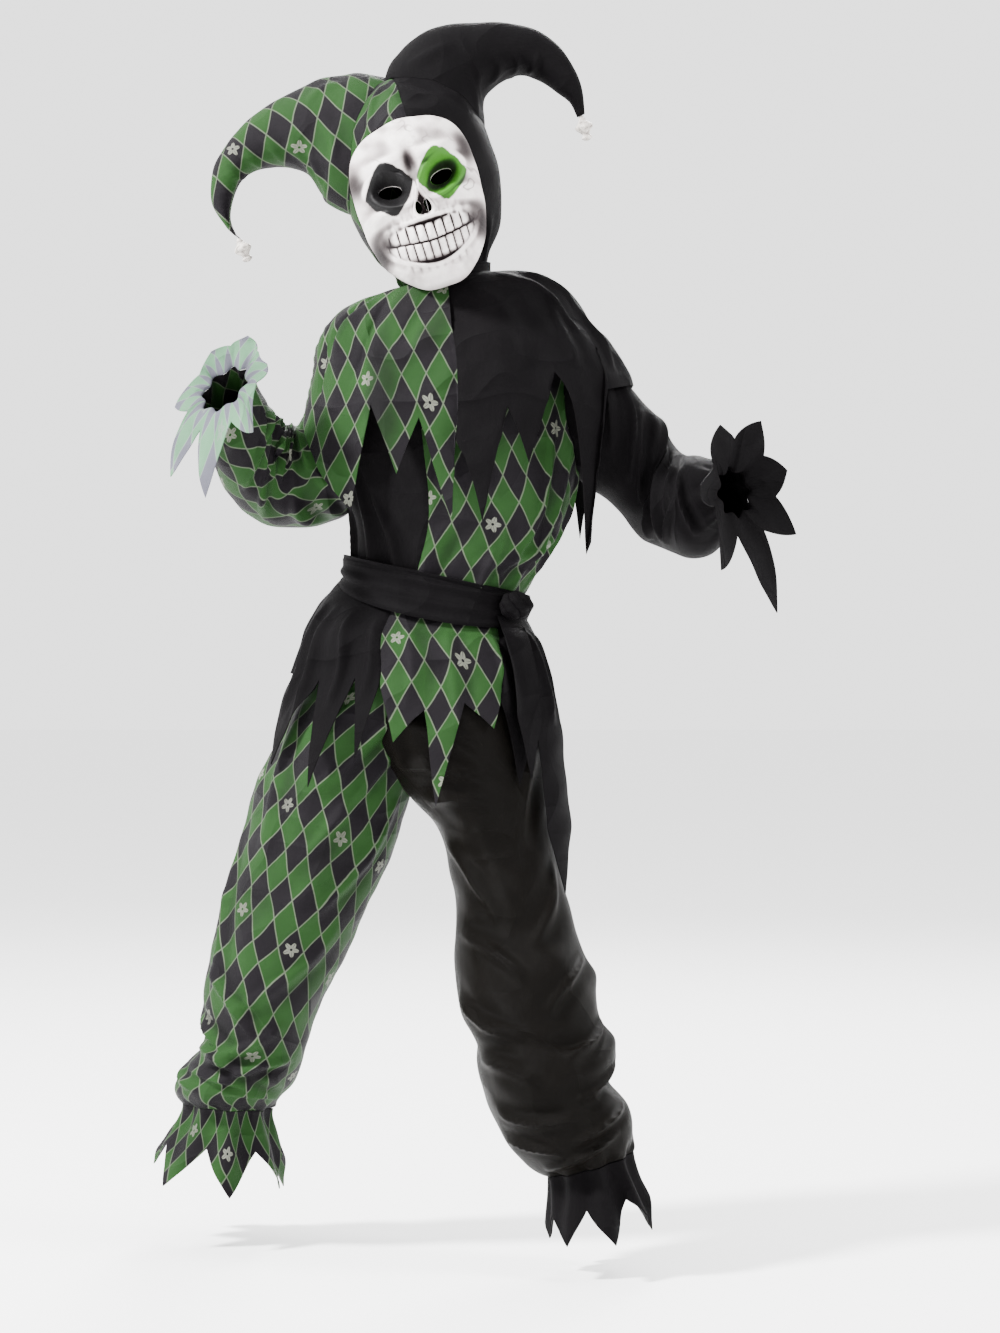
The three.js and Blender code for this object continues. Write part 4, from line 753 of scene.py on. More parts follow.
def cut_away(obj, *cutters):
    """Takes the cutters' forms out of a piece, and keeps the result as the piece's own mesh."""
    for cutter in cutters:
        step = obj.modifiers.new("cut", "BOOLEAN")
        step.operation, step.solver, step.object = "DIFFERENCE", "MANIFOLD", cutter
    shown = obj.evaluated_get(bpy.context.evaluated_depsgraph_get())
    mesh = bpy.data.meshes.new_from_object(shown)
    obj.modifiers.clear()
    old, obj.data = obj.data, mesh
    bpy.data.meshes.remove(old)
    mesh.shade_smooth()
    mesh.set_sharp_from_angle(angle=math.radians(50))
    return obj


def discard(*objects):
    for obj in objects:
        bpy.data.objects.remove(obj)


# Finishes

class Wire:
    """One output of a node; expressions on wires add Math nodes."""

    def __init__(self, finish, socket):
        self.finish, self.socket = finish, socket

    def maths(self, operation, *values):
        slots = {i: value for i, value in enumerate((self,) + values)}
        return self.finish.node("ShaderNodeMath", slots, operation=operation)

    def __add__(self, other):
        return self.maths("ADD", other)

    def __sub__(self, other):
        return self.maths("SUBTRACT", other)

    def __mul__(self, other):
        return self.maths("MULTIPLY", other)

    def __truediv__(self, other):
        return self.maths("DIVIDE", other)

    def __rsub__(self, other):
        return (self * -1) + other

    __radd__, __rmul__ = __add__, __mul__

    def fraction(self):
        return self.maths("FRACT")

    def floor(self):
        return self.maths("FLOOR")

    def size(self):
        return self.maths("ABSOLUTE")

    def least(self, other):
        return self.maths("MINIMUM", other)

    def most(self, other):
        return self.maths("MAXIMUM", other)

    def below(self, edge, soft):
        """1 where the value is under the edge, 0 above it, with a short slope between them."""
        slope = (edge - self) / soft + 0.5
        return self.finish.node("ShaderNodeMath", {0: slope, 1: 1.0}, operation="MULTIPLY", use_clamp=True)


class Finish:
    """One material and its node tree."""

    def __init__(self, name):
        self.material = bpy.data.materials.new(name)
        self.material.use_nodes = True
        self.tree = self.material.node_tree
        self.tree.nodes.clear()
        self.output = self.tree.nodes.new("ShaderNodeOutputMaterial")

    def node(self, kind, inputs=None, output=0, **settings):
        made = self.tree.nodes.new(kind)
        for key, value in settings.items():
            setattr(made, key, value)
        for slot, value in (inputs or {}).items():
            if isinstance(value, Wire):
                self.tree.links.new(value.socket, made.inputs[slot])
            else:
                made.inputs[slot].default_value = value
        return Wire(self, made.outputs[output])

    def cloth_place(self):
        """The way across and down the cloth, in millimetres."""
        place = self.node("ShaderNodeUVMap", uv_map="cloth")
        parted = self.node("ShaderNodeSeparateXYZ", {0: place})
        return place, parted * 1000.0, Wire(self, parted.socket.node.outputs[1]) * 1000.0

    def mix(self, amount, first, second):
        """A colour between two colours."""
        return self.node("ShaderNodeMix", {0: amount, 6: first, 7: second}, output=2, data_type="RGBA")

    def noise(self, place, scale, detail=3.0, roughness=0.55, stretch=None):
        if stretch is not None:
            place = self.node("ShaderNodeMapping", {0: place, 3: stretch})
        return self.node("ShaderNodeTexNoise", {"Vector": place, "Scale": scale, "Detail": detail,
                                                "Roughness": roughness})

    def bump(self, height, distance, strength=1.0, under=None):
        inputs = {"Height": height, "Distance": distance, "Strength": strength}
        if under is not None:
            inputs["Normal"] = under
        return self.node("ShaderNodeBump", inputs)

    def surface(self, **values):
        inputs = {key.replace("_", " "): value for key, value in values.items()}
        shader = self.node("ShaderNodeBsdfPrincipled", inputs)
        self.tree.links.new(shader.socket, self.output.inputs["Surface"])
        return self.material


def rgb(red, green, blue):
    """A colour from screen values of 0 to 255."""
    parts = [c / 255 for c in (red, green, blue)]
    return tuple(c / 12.92 if c <= 0.04045 else ((c + 0.055) / 1.055) ** 2.4 for c in parts) + (1.0,)


def weave_bump(finish, across, down, pitch, distance):
    """Plain weave: threads over and under each other, their crowns half a pitch apart in turn."""
    warp = (across * (math.pi / pitch)).maths("SINE")
    weft = (down * (math.pi / pitch)).maths("SINE")
    return finish.bump(warp * weft, distance)


def crumples(finish, place, distance, under):
    """Small soft creases: ridges along the middle lines of two slow noises, strong here and faint there."""
    for scale, stretch, thin, high in ((9.0, (1.0, 0.5, 1.0), 5.0, 1.7), (15.0, (0.5, 1.0, 1.0), 4.5, 1.0)):
        ridge = (1 - (finish.noise(place, scale, 1.0, 0.4, stretch) * 2.0 - 1.0).size() * thin).most(0.0)
        here = ((finish.noise(place, scale * 0.6, 1.0) - 0.36) * 2.5).most(0.0)
        under = finish.bump(ridge * ridge * here, distance * high, 1.0, under)
    return under


# Half the width and half the length of a rhombus of the print.
HALF_WIDE, HALF_LONG = 15.0, 28.5


def printed_cloth(name, green, dark, line, motif, sheen, specular):
    """A harlequin print: rhombi in rows of green and dark, with thin pale lines between them.

    With a = (across / HALF_WIDE + down / HALF_LONG) / 2, and b the same with a minus, each rhombus is one unit
    square of a and b. In one rhombus out of thirteen stands a small five-lobed rosette. Folds get painted
    shade:
    the colour darkens with the fold attribute.
    """
    finish = Finish(name)
    place, across, down = finish.cloth_place()
    wander = (finish.noise(place, 60.0, 2.0) - 0.5) * 1.0
    p = (across + wander + (finish.noise(place, 8.0, 1.5) - 0.5) * 22.0) * (1 / HALF_WIDE)
    q = (down + wander + (finish.noise(place, 9.3, 1.5) - 0.5) * 26.0) * (1 / HALF_LONG)
    a, b = (p + q) * 0.5, (p - q) * 0.5
    row = (a.floor() + b.floor()) * 0.5
    is_green = row.fraction() * 2.0
    near_a, near_b = (0.5 - (a.fraction() - 0.5).size()), (0.5 - (b.fraction() - 0.5).size())
    edge = near_a.least(near_b) * (2 / math.hypot(1 / HALF_WIDE, 1 / HALF_LONG))
    on_line = edge.below(0.7, 0.5)
    du = (a.fraction() + b.fraction() - 1.0) * HALF_WIDE
    dv = (a.fraction() - b.fraction()) * HALF_LONG
    chosen = ((a.floor() + b.floor() * 5.0) * (1 / 13) + 0.01).fraction().below(0.06, 0.02)
    radius = (du * du + dv * dv).maths("SQRT")
    angle = dv.maths("ARCTAN2", du)
    lobes = (angle * 5.0).maths("COSINE")
    rosette = (radius - lobes * 2.1).below(7.2, 0.6) * (1 - radius.below(1.6, 0.5))
    spokes = ((angle * 5.0).maths("SINE").size()).below(0.16, 0.1) * (1 - radius.below(2.6, 0.4))
    rosette = rosette * (1 - spokes * (1 - radius.below(2.2, 0.4))) * chosen
    blotch = finish.noise(place, 18.0, 4.0)
    fine = finish.noise(place, 900.0, 2.0)
    ground = finish.mix(is_green, dark, green)
    ground = finish.mix(on_line * 0.75, ground, line)
    ground = finish.mix(rosette * 0.8, ground, motif)
    # Painted shade: the print darkens where the cloth lies deep in a fold, besides random blotches of tone.
    fold = finish.node("ShaderNodeAttribute", output=2, attribute_name="fold")
    shadow = finish.mix(0.82, ground, (0, 0, 0, 1))
    worn_and_fold_shade = finish.mix((blotch - 0.4) * 0.35 + (fine - 0.5) * 0.3 + fold * 0.7, ground, shadow)
    weave = weave_bump(finish, across, down, 0.55, 0.00012)
    soft = finish.bump(finish.noise(place, 34.0, 4.0, 0.6, (1.0, 0.55, 1.0)), 0.0012, 0.7, weave)
    soft = crumples(finish, place, 0.0042, soft)
    return finish.surface(Base_Color=worn_and_fold_shade, Roughness=fine * 0.12 + 0.56, Specular_IOR_Level=specular,
                          Sheen_Weight=sheen, Sheen_Roughness=0.45, Sheen_Tint=(0.8, 0.9, 0.8, 1.0),
                          Normal=soft)


def plain_cloth(name, colour, worn_colour, roughness, sheen, tint, crumple, specular=0.3):
    """Plain woven cloth: fine threads, slow changes of shade, and small crumples in the bump."""
    finish = Finish(name)
    place, across, down = finish.cloth_place()
    blotch = finish.noise(place, 14.0, 4.0)
    fine = finish.noise(place, 1100.0, 2.0)
    shade = finish.mix((blotch - 0.35) * 0.8 + (fine - 0.5) * 0.5, colour, worn_colour)
    weave = weave_bump(finish, across, down, 0.45, 0.0001)
    soft = finish.bump(finish.noise(place, 30.0, 5.0, 0.62, (1.0, 0.5, 1.0)), crumple, 0.8, weave)
    soft = crumples(finish, place, crumple * 1.5, soft)
    return finish.surface(Base_Color=shade, Roughness=fine * 0.1 + roughness, Specular_IOR_Level=specular,
                          Sheen_Weight=sheen, Sheen_Roughness=0.4, Sheen_Tint=tint, Normal=soft)


# The mouth of the mask: its line, its half width and height, and how wide the teeth of each row are.
SMILE_DROP, SMILE_CURVE, MOUTH_WIDE, MOUTH_HIGH = 69.0, 0.0058, 53.0, 24.0
TOOTH_UPPER, TOOTH_LOWER = 10.8, 9.4


def mask_finish():
    """Cast shell, off white, with a dark and a green patch painted round the eyes. Painted shade greys its
    hollows, darkens the green patch in them and darkens the whole inside of the shell.

    The map holds the place on the face (side, up) in metres, and an attribute holds how deep each place lies,
    for that painted shade.
    """
    finish = Finish("painted_shell")
    place, side, up = finish.cloth_place()
    hollow_shade = finish.node("ShaderNodeAttribute", output=2, attribute_name="hollow_shade")
    brush = finish.noise(place, 90.0, 4.0) - 0.5

    def painted(centre_side, centre_up, half_wide, half_high):
        """A patch whose outline lies between a lozenge and an oval."""
        u = ((side - centre_side + brush * 5.0).size() * (1 / half_wide)).maths("POWER", 1.35)
        w = ((up - centre_up + brush * 7.0).size() * (1 / half_high)).maths("POWER", 1.35)
        return (u + w).below(1.0, 0.08)

    dark_paint = painted(-32, 2, 30, 31)
    green_paint = painted(32, 2, 30, 31)
    speck = finish.noise(place, 420.0, 3.0)
    stain = finish.noise(place, 38.0, 5.0, 0.6)
    smile = up - side * side * SMILE_CURVE + SMILE_DROP
    # Painted shade: dark between the teeth, along the line between the rows and round the teeth inside the
    # open mouth.
    tooth_gap_shade = 0.0
    for row, width in ((smile.below(0.0, 0.4), TOOTH_LOWER), ((0.0 - smile).below(0.0, 0.4), TOOTH_UPPER)):
        tooth_gap_shade = row * (side * (math.pi / width)).maths("COSINE").size().below(0.17, 0.16) + tooth_gap_shade
    tooth_gap_shade = tooth_gap_shade.most(smile.size().below(0.9, 0.9)).most(1 - smile.size().below(20.4, 1.6))
    sideways, upright = side * (1 / MOUTH_WIDE), smile * (1 / MOUTH_HIGH)
    mouth = (sideways * sideways + upright * upright).below(1.0, 0.1)
    cracks = (1 - (finish.noise(place, 15.0, 3.0, 0.6) * 2.0 - 1.0).size() * 34.0).most(0.0)
    cracks = cracks * ((finish.noise(place, 22.0, 1.0) - 0.5) * 6.0).most(0.0).least(0.7)
    shell = finish.mix((stain - 0.4) * 1.7, rgb(226, 221, 218), rgb(150, 134, 136))
    shell = finish.mix((speck - 0.45) * 0.5, shell, rgb(186, 174, 170))
    shell = finish.mix(cracks, shell, rgb(74, 62, 62))
    # Painted shade: the shell, and the green paint below, grow darker the deeper a place lies.
    shell = finish.mix(hollow_shade, shell, finish.mix(hollow_shade, rgb(120, 100, 102), rgb(22, 15, 17)))
    shell = finish.mix(dark_paint, shell, rgb(5, 4, 5))
    shell = finish.mix(green_paint, shell, finish.mix(hollow_shade, rgb(44, 92, 22), rgb(8, 18, 4)))
    # Painted shade in the gaps between the teeth and in the open mouth.
    shell = finish.mix(mouth * tooth_gap_shade * 0.95, shell, rgb(20, 13, 15))
    pores = finish.bump(finish.noise(place, 120.0, 5.0), 0.0016, 0.8)
    return finish.surface(Base_Color=shell, Roughness=speck * 0.2 + 0.5, Specular_IOR_Level=0.12, Normal=pores)


def bead_finish():
    finish = Finish("bone_bead")
    place = finish.node("ShaderNodeTexCoord", output=3)
    speck = finish.noise(place, 170.0, 4.0)
    shade = finish.mix((speck - 0.36) * 2.6, rgb(206, 200, 192), rgb(78, 68, 66))
    return finish.surface(Base_Color=shade, Roughness=speck * 0.2 + 0.4, Specular_IOR_Level=0.2,
                          Normal=finish.bump(speck, 0.0003, 0.5))


PRINT = printed_cloth("harlequin_print", rgb(22, 51, 16), rgb(7, 4, 8), rgb(78, 88, 71), rgb(104, 106, 96),
                      0.015, 0.09)
PRINT_BACK = printed_cloth("harlequin_wrong_side", rgb(80, 118, 90), rgb(84, 84, 94), rgb(110, 124, 114),
                           rgb(104, 114, 106), 0.03, 0.1)
BLACK_CLOTH = plain_cloth("black_cloth", rgb(3, 2, 3), rgb(8, 7, 8), 0.6, 0.006, (0.9, 0.84, 0.9, 1), 0.0022,
                          0.042)
BLACK_BACK = plain_cloth("black_cloth_wrong_side", rgb(8, 8, 9), rgb(15, 15, 17), 0.85, 0.01, (1, 1, 1, 1),
                         0.001, 0.05)
SATIN = plain_cloth("black_satin", rgb(4, 3, 2), rgb(8, 6, 5), 0.36, 0.006, (1, 0.86, 0.76, 1), 0.0016, 0.032)
SHELL = mask_finish()
BEAD = bead_finish()


# Pieces

def gathers(count, height, reach, last):
    """Small uneven waves over an elastic, which die away up the limb and at the seam with the flounce."""
    def relief(theta, v):
        near = smooth(last - reach, last, v) * (1 - smooth(last - 0.2, last - 0.03, v))
        uneven = 0.7 + 0.3 * np.sin(3 * theta + 1.0)
        return height * near * uneven * (np.cos(count * theta + 1.5 * np.sin(2 * theta))
                                         + 0.5 * np.cos(0.55 * count * theta * 2 + 2.0))
    return relief


def hang(height, phase, first, full):
    """Uneven folds that open out downwards: three waves round the cloth that wander, lower at the sides."""
    def relief(theta, v):
        waves = np.sin(5 * theta + phase + 0.5 * np.sin(2 * theta) + 0.25 * v)
        waves = waves + 0.6 * np.sin(9 * theta + 2 * phase + 0.3 * v)
        waves = waves + 0.45 * np.sin(15 * theta - phase - 0.35 * v)
        return height * smooth(first, full, v) * (waves + 0.9) * (1 - 0.8 * np.cos(theta) ** 8)
    return relief


shirt = Tube(SHIRT_RINGS, 2.3, SHIRT_FOLDS, creases=CREASES["shirt"])
cape = Tube(CAPE_RINGS, 2.5, creases=CREASES["cape"], relief=hang(3.6, 0.6, 0.4, 4.0))
skirt = Tube(SKIRT_RINGS, 2.2, creases=CREASES["skirt"], relief=hang(2.0, 2.1, 1.2, 4.0))
hood = Hood(HOOD_RINGS, 2.0, HOOD_FOLDS, creases=CREASES["hood"], drape=0.7)
sleeves = {
    "right": Tube(SLEEVE_RIGHT_RINGS, 2.0, SLEEVE_RIGHT_FOLDS, (8, 3, 1), CREASES["sleeve_right"],
                  gathers(17, 1.1, 0.8, 7)),
    "left": Tube(SLEEVE_LEFT_RINGS, 2.0, SLEEVE_LEFT_FOLDS, (8, 3, 1), CREASES["sleeve_left"],
                 gathers(17, 1.1, 0.8, 7)),
}
legs = {
    "right": Tube(LEG_RIGHT_RINGS, 2.0, LEG_RIGHT_FOLDS, (9, 4, 1), CREASES["leg_right"],
                  gathers(20, 1.4, 1.2, 12)),
    "left": Tube(LEG_LEFT_RINGS, 2.0, LEG_LEFT_FOLDS, (9, 4, 1), CREASES["leg_left"],
                 gathers(20, 1.4, 1.2, 15)),
}
horns = {
    "right": Tube(HORN_RIGHT_RINGS, creases=CREASES["horn_right"], drape=0.5),
    "left": Tube(HORN_LEFT_RINGS, creases=CREASES["horn_left"], drape=0.5),
}


def sash_relief(theta, v):
    """Lengthwise pleats: three ridges across the band that wander up and down as they go round."""
    phase = 2.6 * math.pi * (v / 3) + 0.5 * theta + 0.6 * np.sin(2 * theta + 1)
    ripple = 1.3 * np.sin(phase * 2) * smooth(0, 0.4, v) * (1 - smooth(2.6, 3, v))
    return 2.2 * np.abs(np.sin(2 * math.pi * v / 3 + theta / 2)) + ripple


sash = Tube(SASH_RINGS, 2.2, relief=sash_relief, drape=0.6)


def form_of(surface, count, rows, grow=0.35):
    return filled_form("form", surface, even_columns(0, 360, count, 0, surface.last, True), rows, grow)


def finished(obj, node, outside, inside=None):
    """Gives a piece its finishes, and stands it in for its solid."""
    obj.data.materials.clear()
    obj.data.materials.append(outside)
    obj.data.materials.append(inside or outside)
    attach(obj, "root")
    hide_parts(node)
    return obj


def sewn(obj, node, outside, inside):
    """Finishes a piece, outside and inside."""
    finished(obj, node, outside, inside)
    return obj


# The middle of the mask's outline on the head's own two directions, and how many turns its edge is read at.
MASK_MIDDLE, MASK_LEVEL, EDGE_TURNS = -10.0, -18.0, 28


def outline_reach():
    """How far the mask's edge lies from its middle at even turns: the place where a ray leaves its outline."""
    ups = np.array([-118, -115, -100, -76, -42, 0, 36, 62, 76, 82.0])
    halves = np.array([0, 24, 42, 60, 72, 75, 74, 62, 40, 0.0])
    turns = np.arange(EDGE_TURNS) * TURN / EDGE_TURNS
    near, far = np.zeros(EDGE_TURNS), np.full(EDGE_TURNS, 130.0)
    for _ in range(30):
        reach = (near + far) / 2
        up = MASK_LEVEL + reach * np.sin(turns)
        inside = (up > -118) & (up < 82) & (np.abs(reach * np.cos(turns)) < np.interp(up, ups, halves))
        near, far = np.where(inside, reach, near), np.where(inside, far, reach)
    return near


MASK_EDGE = outline_reach()


def mask_edge(turn, grow=0.0):
    """A smooth closed curve through the mask's edge, as (side, up)."""
    t = (turn % TURN) * EDGE_TURNS / TURN
    i = np.floor(t).astype(int)
    f = t - i
    a, b, c, d = (MASK_EDGE[(i + k) % EDGE_TURNS] for k in (-1, 0, 1, 2))
    reach = b + 0.5 * f * (c - a + f * (2 * a - 5 * b + 4 * c - d + f * (3 * (b - c) + d - a))) + grow
    return MASK_MIDDLE + reach * np.cos(turn), MASK_LEVEL + reach * np.sin(turn)


def hood_front(side, up):
    """How far forward the hood stands at a place of the face; under its floor the mask hangs free of it."""
    steps = np.linspace(0, 9, 400)
    v = np.interp(np.maximum(up, -62), along(HOOD_RINGS["up"], steps), steps)
    across = (side - along(HOOD_RINGS["side"], v)) / along(HOOD_RINGS["half"], v)
    across = np.clip(across, -0.96, 0.96)
    front = along(HOOD_RINGS["y"], v) - along(HOOD_RINGS["depth"], v) * np.sqrt(1 - across**2)
    return front - 14 * (1 - smooth(-110, -62, up))


def bump_at(side, up, wide, high, x, y):
    return np.exp(-(((x - side) / wide) ** 2) - ((y - up) / high) ** 2)


def face_relief(x, y):
    """A plain skull, as heights over its dome: sums of soft bumps.

    Brow and cheekbones stand out, eye, nose and cheek hollows go in, and two rows of rounded teeth stand in an
    open mouth over a chin.
    """
    pair = np.abs(x)
    out = 17 * bump_at(30, 30, 23, 10, pair, y) + 6 * bump_at(0, 52, 22, 16, x, y)
    out = out - 7 * bump_at(0, 27, 8, 13, x, y)
    socket = np.sqrt(((pair - 31) / 25) ** 2 + ((y - 1 - 0.32 * (pair - 31)) / 18) ** 2)
    out = out - 24 * (1 - smooth(0.25, 1.06, socket)) + 2.8 * np.exp(-(((socket - 1.16) / 0.13) ** 2))
    out = out + 17 * bump_at(52, -24, 17, 9, pair, y) - 19 * bump_at(60, -56, 16, 22, pair, y)
    out = out - 13 * bump_at(68, 28, 13, 22, pair, y) + 5 * bump_at(12, 6, 6, 14, pair, y)
    out = out + 1.5 * np.sin(pair / 1.9) * bump_at(30, -42, 16, 8, pair, y)
    nose = np.sqrt((x / (4.0 + 8.0 * (1 - smooth(-42, -10, y)))) ** 2 + ((y + 26) / 15) ** 2)
    out = out + 6 * bump_at(0, -10, 8, 11, x, y) - 13 * (1 - smooth(0.55, 1.05, nose))
    out = out + 1.8 * np.exp(-(((nose - 1.18) / 0.14) ** 2)) + 4 * bump_at(0, -31, 1.5, 10, x, y)
    out = out + 11 * bump_at(0, -68, 46, 22, x, y) + 9 * bump_at(0, -105, 22, 10, x, y)
    smile = y + SMILE_DROP - SMILE_CURVE * x * x
    lips = np.sqrt((x / MOUTH_WIDE) ** 2 + (smile / MOUTH_HIGH) ** 2)
    mouth = 1 - smooth(0.84, 1.04, lips)
    out = out - 7 * mouth + 2.2 * np.exp(-(((lips - 1.1) / 0.09) ** 2))
    for middle, half, width in ((10.6, 10.0, TOOTH_UPPER), (-10.2, 9.6, TOOTH_LOWER)):
        tooth = np.abs(np.cos(math.pi * x / width)) ** 0.4
        crown = np.clip(1 - ((smile - middle) / half) ** 4, 0, 1) ** 0.6
        out = out + 9.5 * crown * tooth * mouth
        root = np.exp(-(((smile - middle * 2.6) / 6.0) ** 2)) * np.abs(np.cos(math.pi * x / width))
        out = out + 1.6 * root * (1 - smooth(30, 44, pair))
    out = out + 0.7 * np.sin(x / 5 + y / 9) * np.sin(y / 6 - x / 13) * smooth(10, 60, y)
    return out


# How far forward the mask's dome stands, its wall, and the exponent of its dome.
MASK_FRONT, MASK_WALL, DOME = -138.0, 2.5, 0.62


def mask_shell():
    """Polar grid from the face's middle to its edge; y runs from rim to front as (1 - reach^2) ^ DOME."""
    turns, loops = 272, 112
    turn = np.arange(turns) * TURN / turns
    reach = np.sin(np.linspace(0.008, 1, loops) * math.pi / 2)[:, None]
    edge_side, edge_up = mask_edge(turn)
    side = MASK_MIDDLE + (edge_side - MASK_MIDDLE) * reach
    up = MASK_LEVEL + (edge_up - MASK_LEVEL) * reach
    dome = np.clip(1 - reach**2, 0, 1) ** DOME
    relief = face_relief(side - MASK_MIDDLE, up)
    rim = hood_front(edge_side, edge_up) - 1
    y = rim + (MASK_FRONT - rim) * dome - relief * np.minimum(1, 3 * (1 - reach))
    outer = HEAD_CENTRE + side[..., None] * HEAD_SIDE + up[..., None] * HEAD_UP + y[..., None] * [0, 1, 0]
    inner = outer + [0, MASK_WALL, 0]
    count = turns * loops
    index = np.arange(count).reshape(loops, turns)
    ring = np.concatenate([index, index[:, :1]], axis=1)
    quads = np.stack([ring[:-1, :-1], ring[1:, :-1], ring[1:, 1:], ring[:-1, 1:]], -1).reshape(-1, 4)
    rim_quads = np.stack([ring[-1, :-1], ring[-1, :-1] + count, ring[-1, 1:] + count, ring[-1, 1:]], -1)
    fan = np.stack([np.full(turns, 2 * count), ring[0, :-1], ring[0, 1:]], -1)
    inner_fan = np.stack([np.full(turns, 2 * count + 1), ring[0, 1:] + count, ring[0, :-1] + count], -1)
    poles = [grid[:1].mean(axis=1) for grid in (outer, inner)]
    points = np.concatenate([outer.reshape(-1, 3), inner.reshape(-1, 3)] + poles)
    face_map = np.stack([side - MASK_MIDDLE, up], -1).reshape(-1, 2) * MM
    face_map = np.concatenate([face_map, face_map, [[0, MASK_LEVEL * MM]] * 2])
    groups = (quads, quads[:, ::-1] + count, rim_quads, fan, inner_fan)
    faces = sum((group.tolist() for group in groups), [])
    corners = np.concatenate([group.ravel() for group in groups])
    obj = make_object("skull_mask", points, faces, face_map[corners], sharp=60)
    # How deep each place lies under its neighbours, stored for the finish's painted shade in the hollows.
    x, deep = side - MASK_MIDDLE, np.zeros(side.shape)
    for reach_mm, weight in ((2.0, 0.7), (7.0, 0.22), (15.0, 0.07), (26.0, 0.035)):
        steps = ((reach_mm, 0), (-reach_mm, 0), (0, reach_mm), (0, -reach_mm))
        around = sum(face_relief(x + a, up + b) for a, b in steps) / 4
        deep = deep + np.maximum((around - relief) * weight, 0)
    deep = (1 - np.exp(-2.4 * deep)).ravel()
    layer = obj.data.attributes.new("hollow_shade", "FLOAT", "POINT")
    # The inside of the shell gets an even painted shade of 0.6.
    values = np.concatenate([deep, deep * 0 + 0.6, deep[:1], [0.6]])
    layer.data.foreach_set("value", values.astype(np.float32))
    return obj


def face_cutter(side, up, from_y, to_y):
    """A prism with an outline on the face, run straight back through it."""
    n = len(side)
    flat = HEAD_CENTRE + side[:, None] * HEAD_SIDE + up[:, None] * HEAD_UP
    points = np.concatenate([flat + [0, from_y, 0], flat + [0, to_y, 0]])
    i = np.arange(n)
    nxt = (i + 1) % n
    faces = [i[::-1].tolist(), (i + n).tolist()] + np.stack([i, nxt, nxt + n, i + n], -1).tolist()
    corners = sum(len(f) for f in faces)
    obj = make_object("cutter", points, faces, np.zeros((corners, 2)))
    mesh = obj.data
    mesh.update()
    volume = sum(p.center.dot(p.normal) * p.area for p in mesh.polygons)
    if volume < 0:
        mesh.flip_normals()
    return obj


def oval(side, up, wide, high, tip, count=48):
    turn = np.arange(count) * TURN / count
    a, b = wide * np.cos(turn), high * np.sin(turn)
    c, s = math.cos(tip), math.sin(tip)
    return MASK_MIDDLE + side + a * c - b * s, up + a * s + b * c


def ball_faces(rows, around):
    """The faces of a round form: rows of points from its top to its foot, with one point at each end."""
    count = rows * around
    ring = np.arange(count).reshape(rows, around)
    ring = np.concatenate([ring, ring[:, :1]], axis=1)
    quads = np.stack([ring[:-1, :-1], ring[1:, :-1], ring[1:, 1:], ring[:-1, 1:]], -1).reshape(-1, 4)
    top = np.stack([np.full(around, count), ring[0, :-1], ring[0, 1:]], -1)
    foot = np.stack([np.full(around, count + 1), ring[-1, 1:], ring[-1, :-1]], -1)
    return quads, top, foot


BEAD_LONG = 31.0


def bead(name, place, tip):
    """A profile turned about its own axis: a short neck, a round bead and a smaller foot."""
    rows, around = 60, 48
    heights = np.linspace(0, 1, rows)
    radius = 3.0 + 7.8 * np.exp(-(((heights - 0.46) / 0.2) ** 2))
    radius = radius + 3.4 * np.exp(-(((heights - 0.88) / 0.09) ** 2))
    radius = radius + 0.7 * np.exp(-(((heights - 0.14) / 0.03) ** 2))
    radius = radius * np.sqrt(np.clip(1 - (2 * heights - 1) ** 12, 0, 1))
    turn = np.arange(around) * TURN / around
    x = radius[1:-1, None] * np.cos(turn)
    y = radius[1:-1, None] * np.sin(turn)
    z = np.broadcast_to(-BEAD_LONG * heights[1:-1, None], x.shape)
    points = np.concatenate([np.stack([x, y, z], -1).reshape(-1, 3), [[0, 0, 0], [0, 0, -BEAD_LONG]]])
    c, s = math.cos(tip), math.sin(tip)
    points = points @ np.array([[c, 0, -s], [0, 1, 0], [s, 0, c]]) + place
    quads, top, foot = ball_faces(rows - 2, around)
    return make_object(name, points, quads.tolist() + top.tolist() + foot.tolist())


# The knot's middle, its half sizes, and the cloth's way round and down it for each radian.
KNOT_MIDDLE, KNOT_HALF, KNOT_CLOTH = np.array([81.0, -72.0, -386.0]), (19, 17, 17), 0.018


def knot_form():
    """A squashed ball wrapped by three slanting bands, with deep creases between them."""
    around, down = 120, 72
    a = np.arange(around)[None, :] * TURN / around
    b = np.linspace(0, math.pi, down + 1)[1:-1, None]
    bands = np.cos(3 * a + 2.2 * np.cos(b))
    swell = 1 + 0.1 * np.cos(3 * a) * np.sin(b)
    grow = 1.6 * np.sin(b) * (np.abs(bands) ** 0.5 * 2 - 1.3) + 0.5 * np.sin(9 * b + 2 * a) * np.sin(b)
    x = (KNOT_HALF[0] * swell + grow) * np.sin(b) * np.cos(a)
    y = (KNOT_HALF[1] * swell + grow) * np.sin(b) * np.sin(a)
    z = (KNOT_HALF[2] + grow) * np.cos(b) * np.ones_like(a)
    points = np.stack([x, y, z], -1) + KNOT_MIDDLE
    ends = KNOT_MIDDLE + [[0, 0, KNOT_HALF[2]], [0, 0, -KNOT_HALF[2]]]
    groups = ball_faces(down - 1, around)
    faces = sum((group.tolist() for group in groups), [])
    corners = np.concatenate([group.ravel() for group in groups])
    flat = np.stack(np.broadcast_arrays(a, b), -1) * KNOT_CLOTH
    flat = np.concatenate([flat.reshape(-1, 2), [[0, 0], [0, math.pi * KNOT_CLOTH]]])
    return make_object("sash_knot", np.concatenate([points.reshape(-1, 3), ends]), faces, flat[corners])


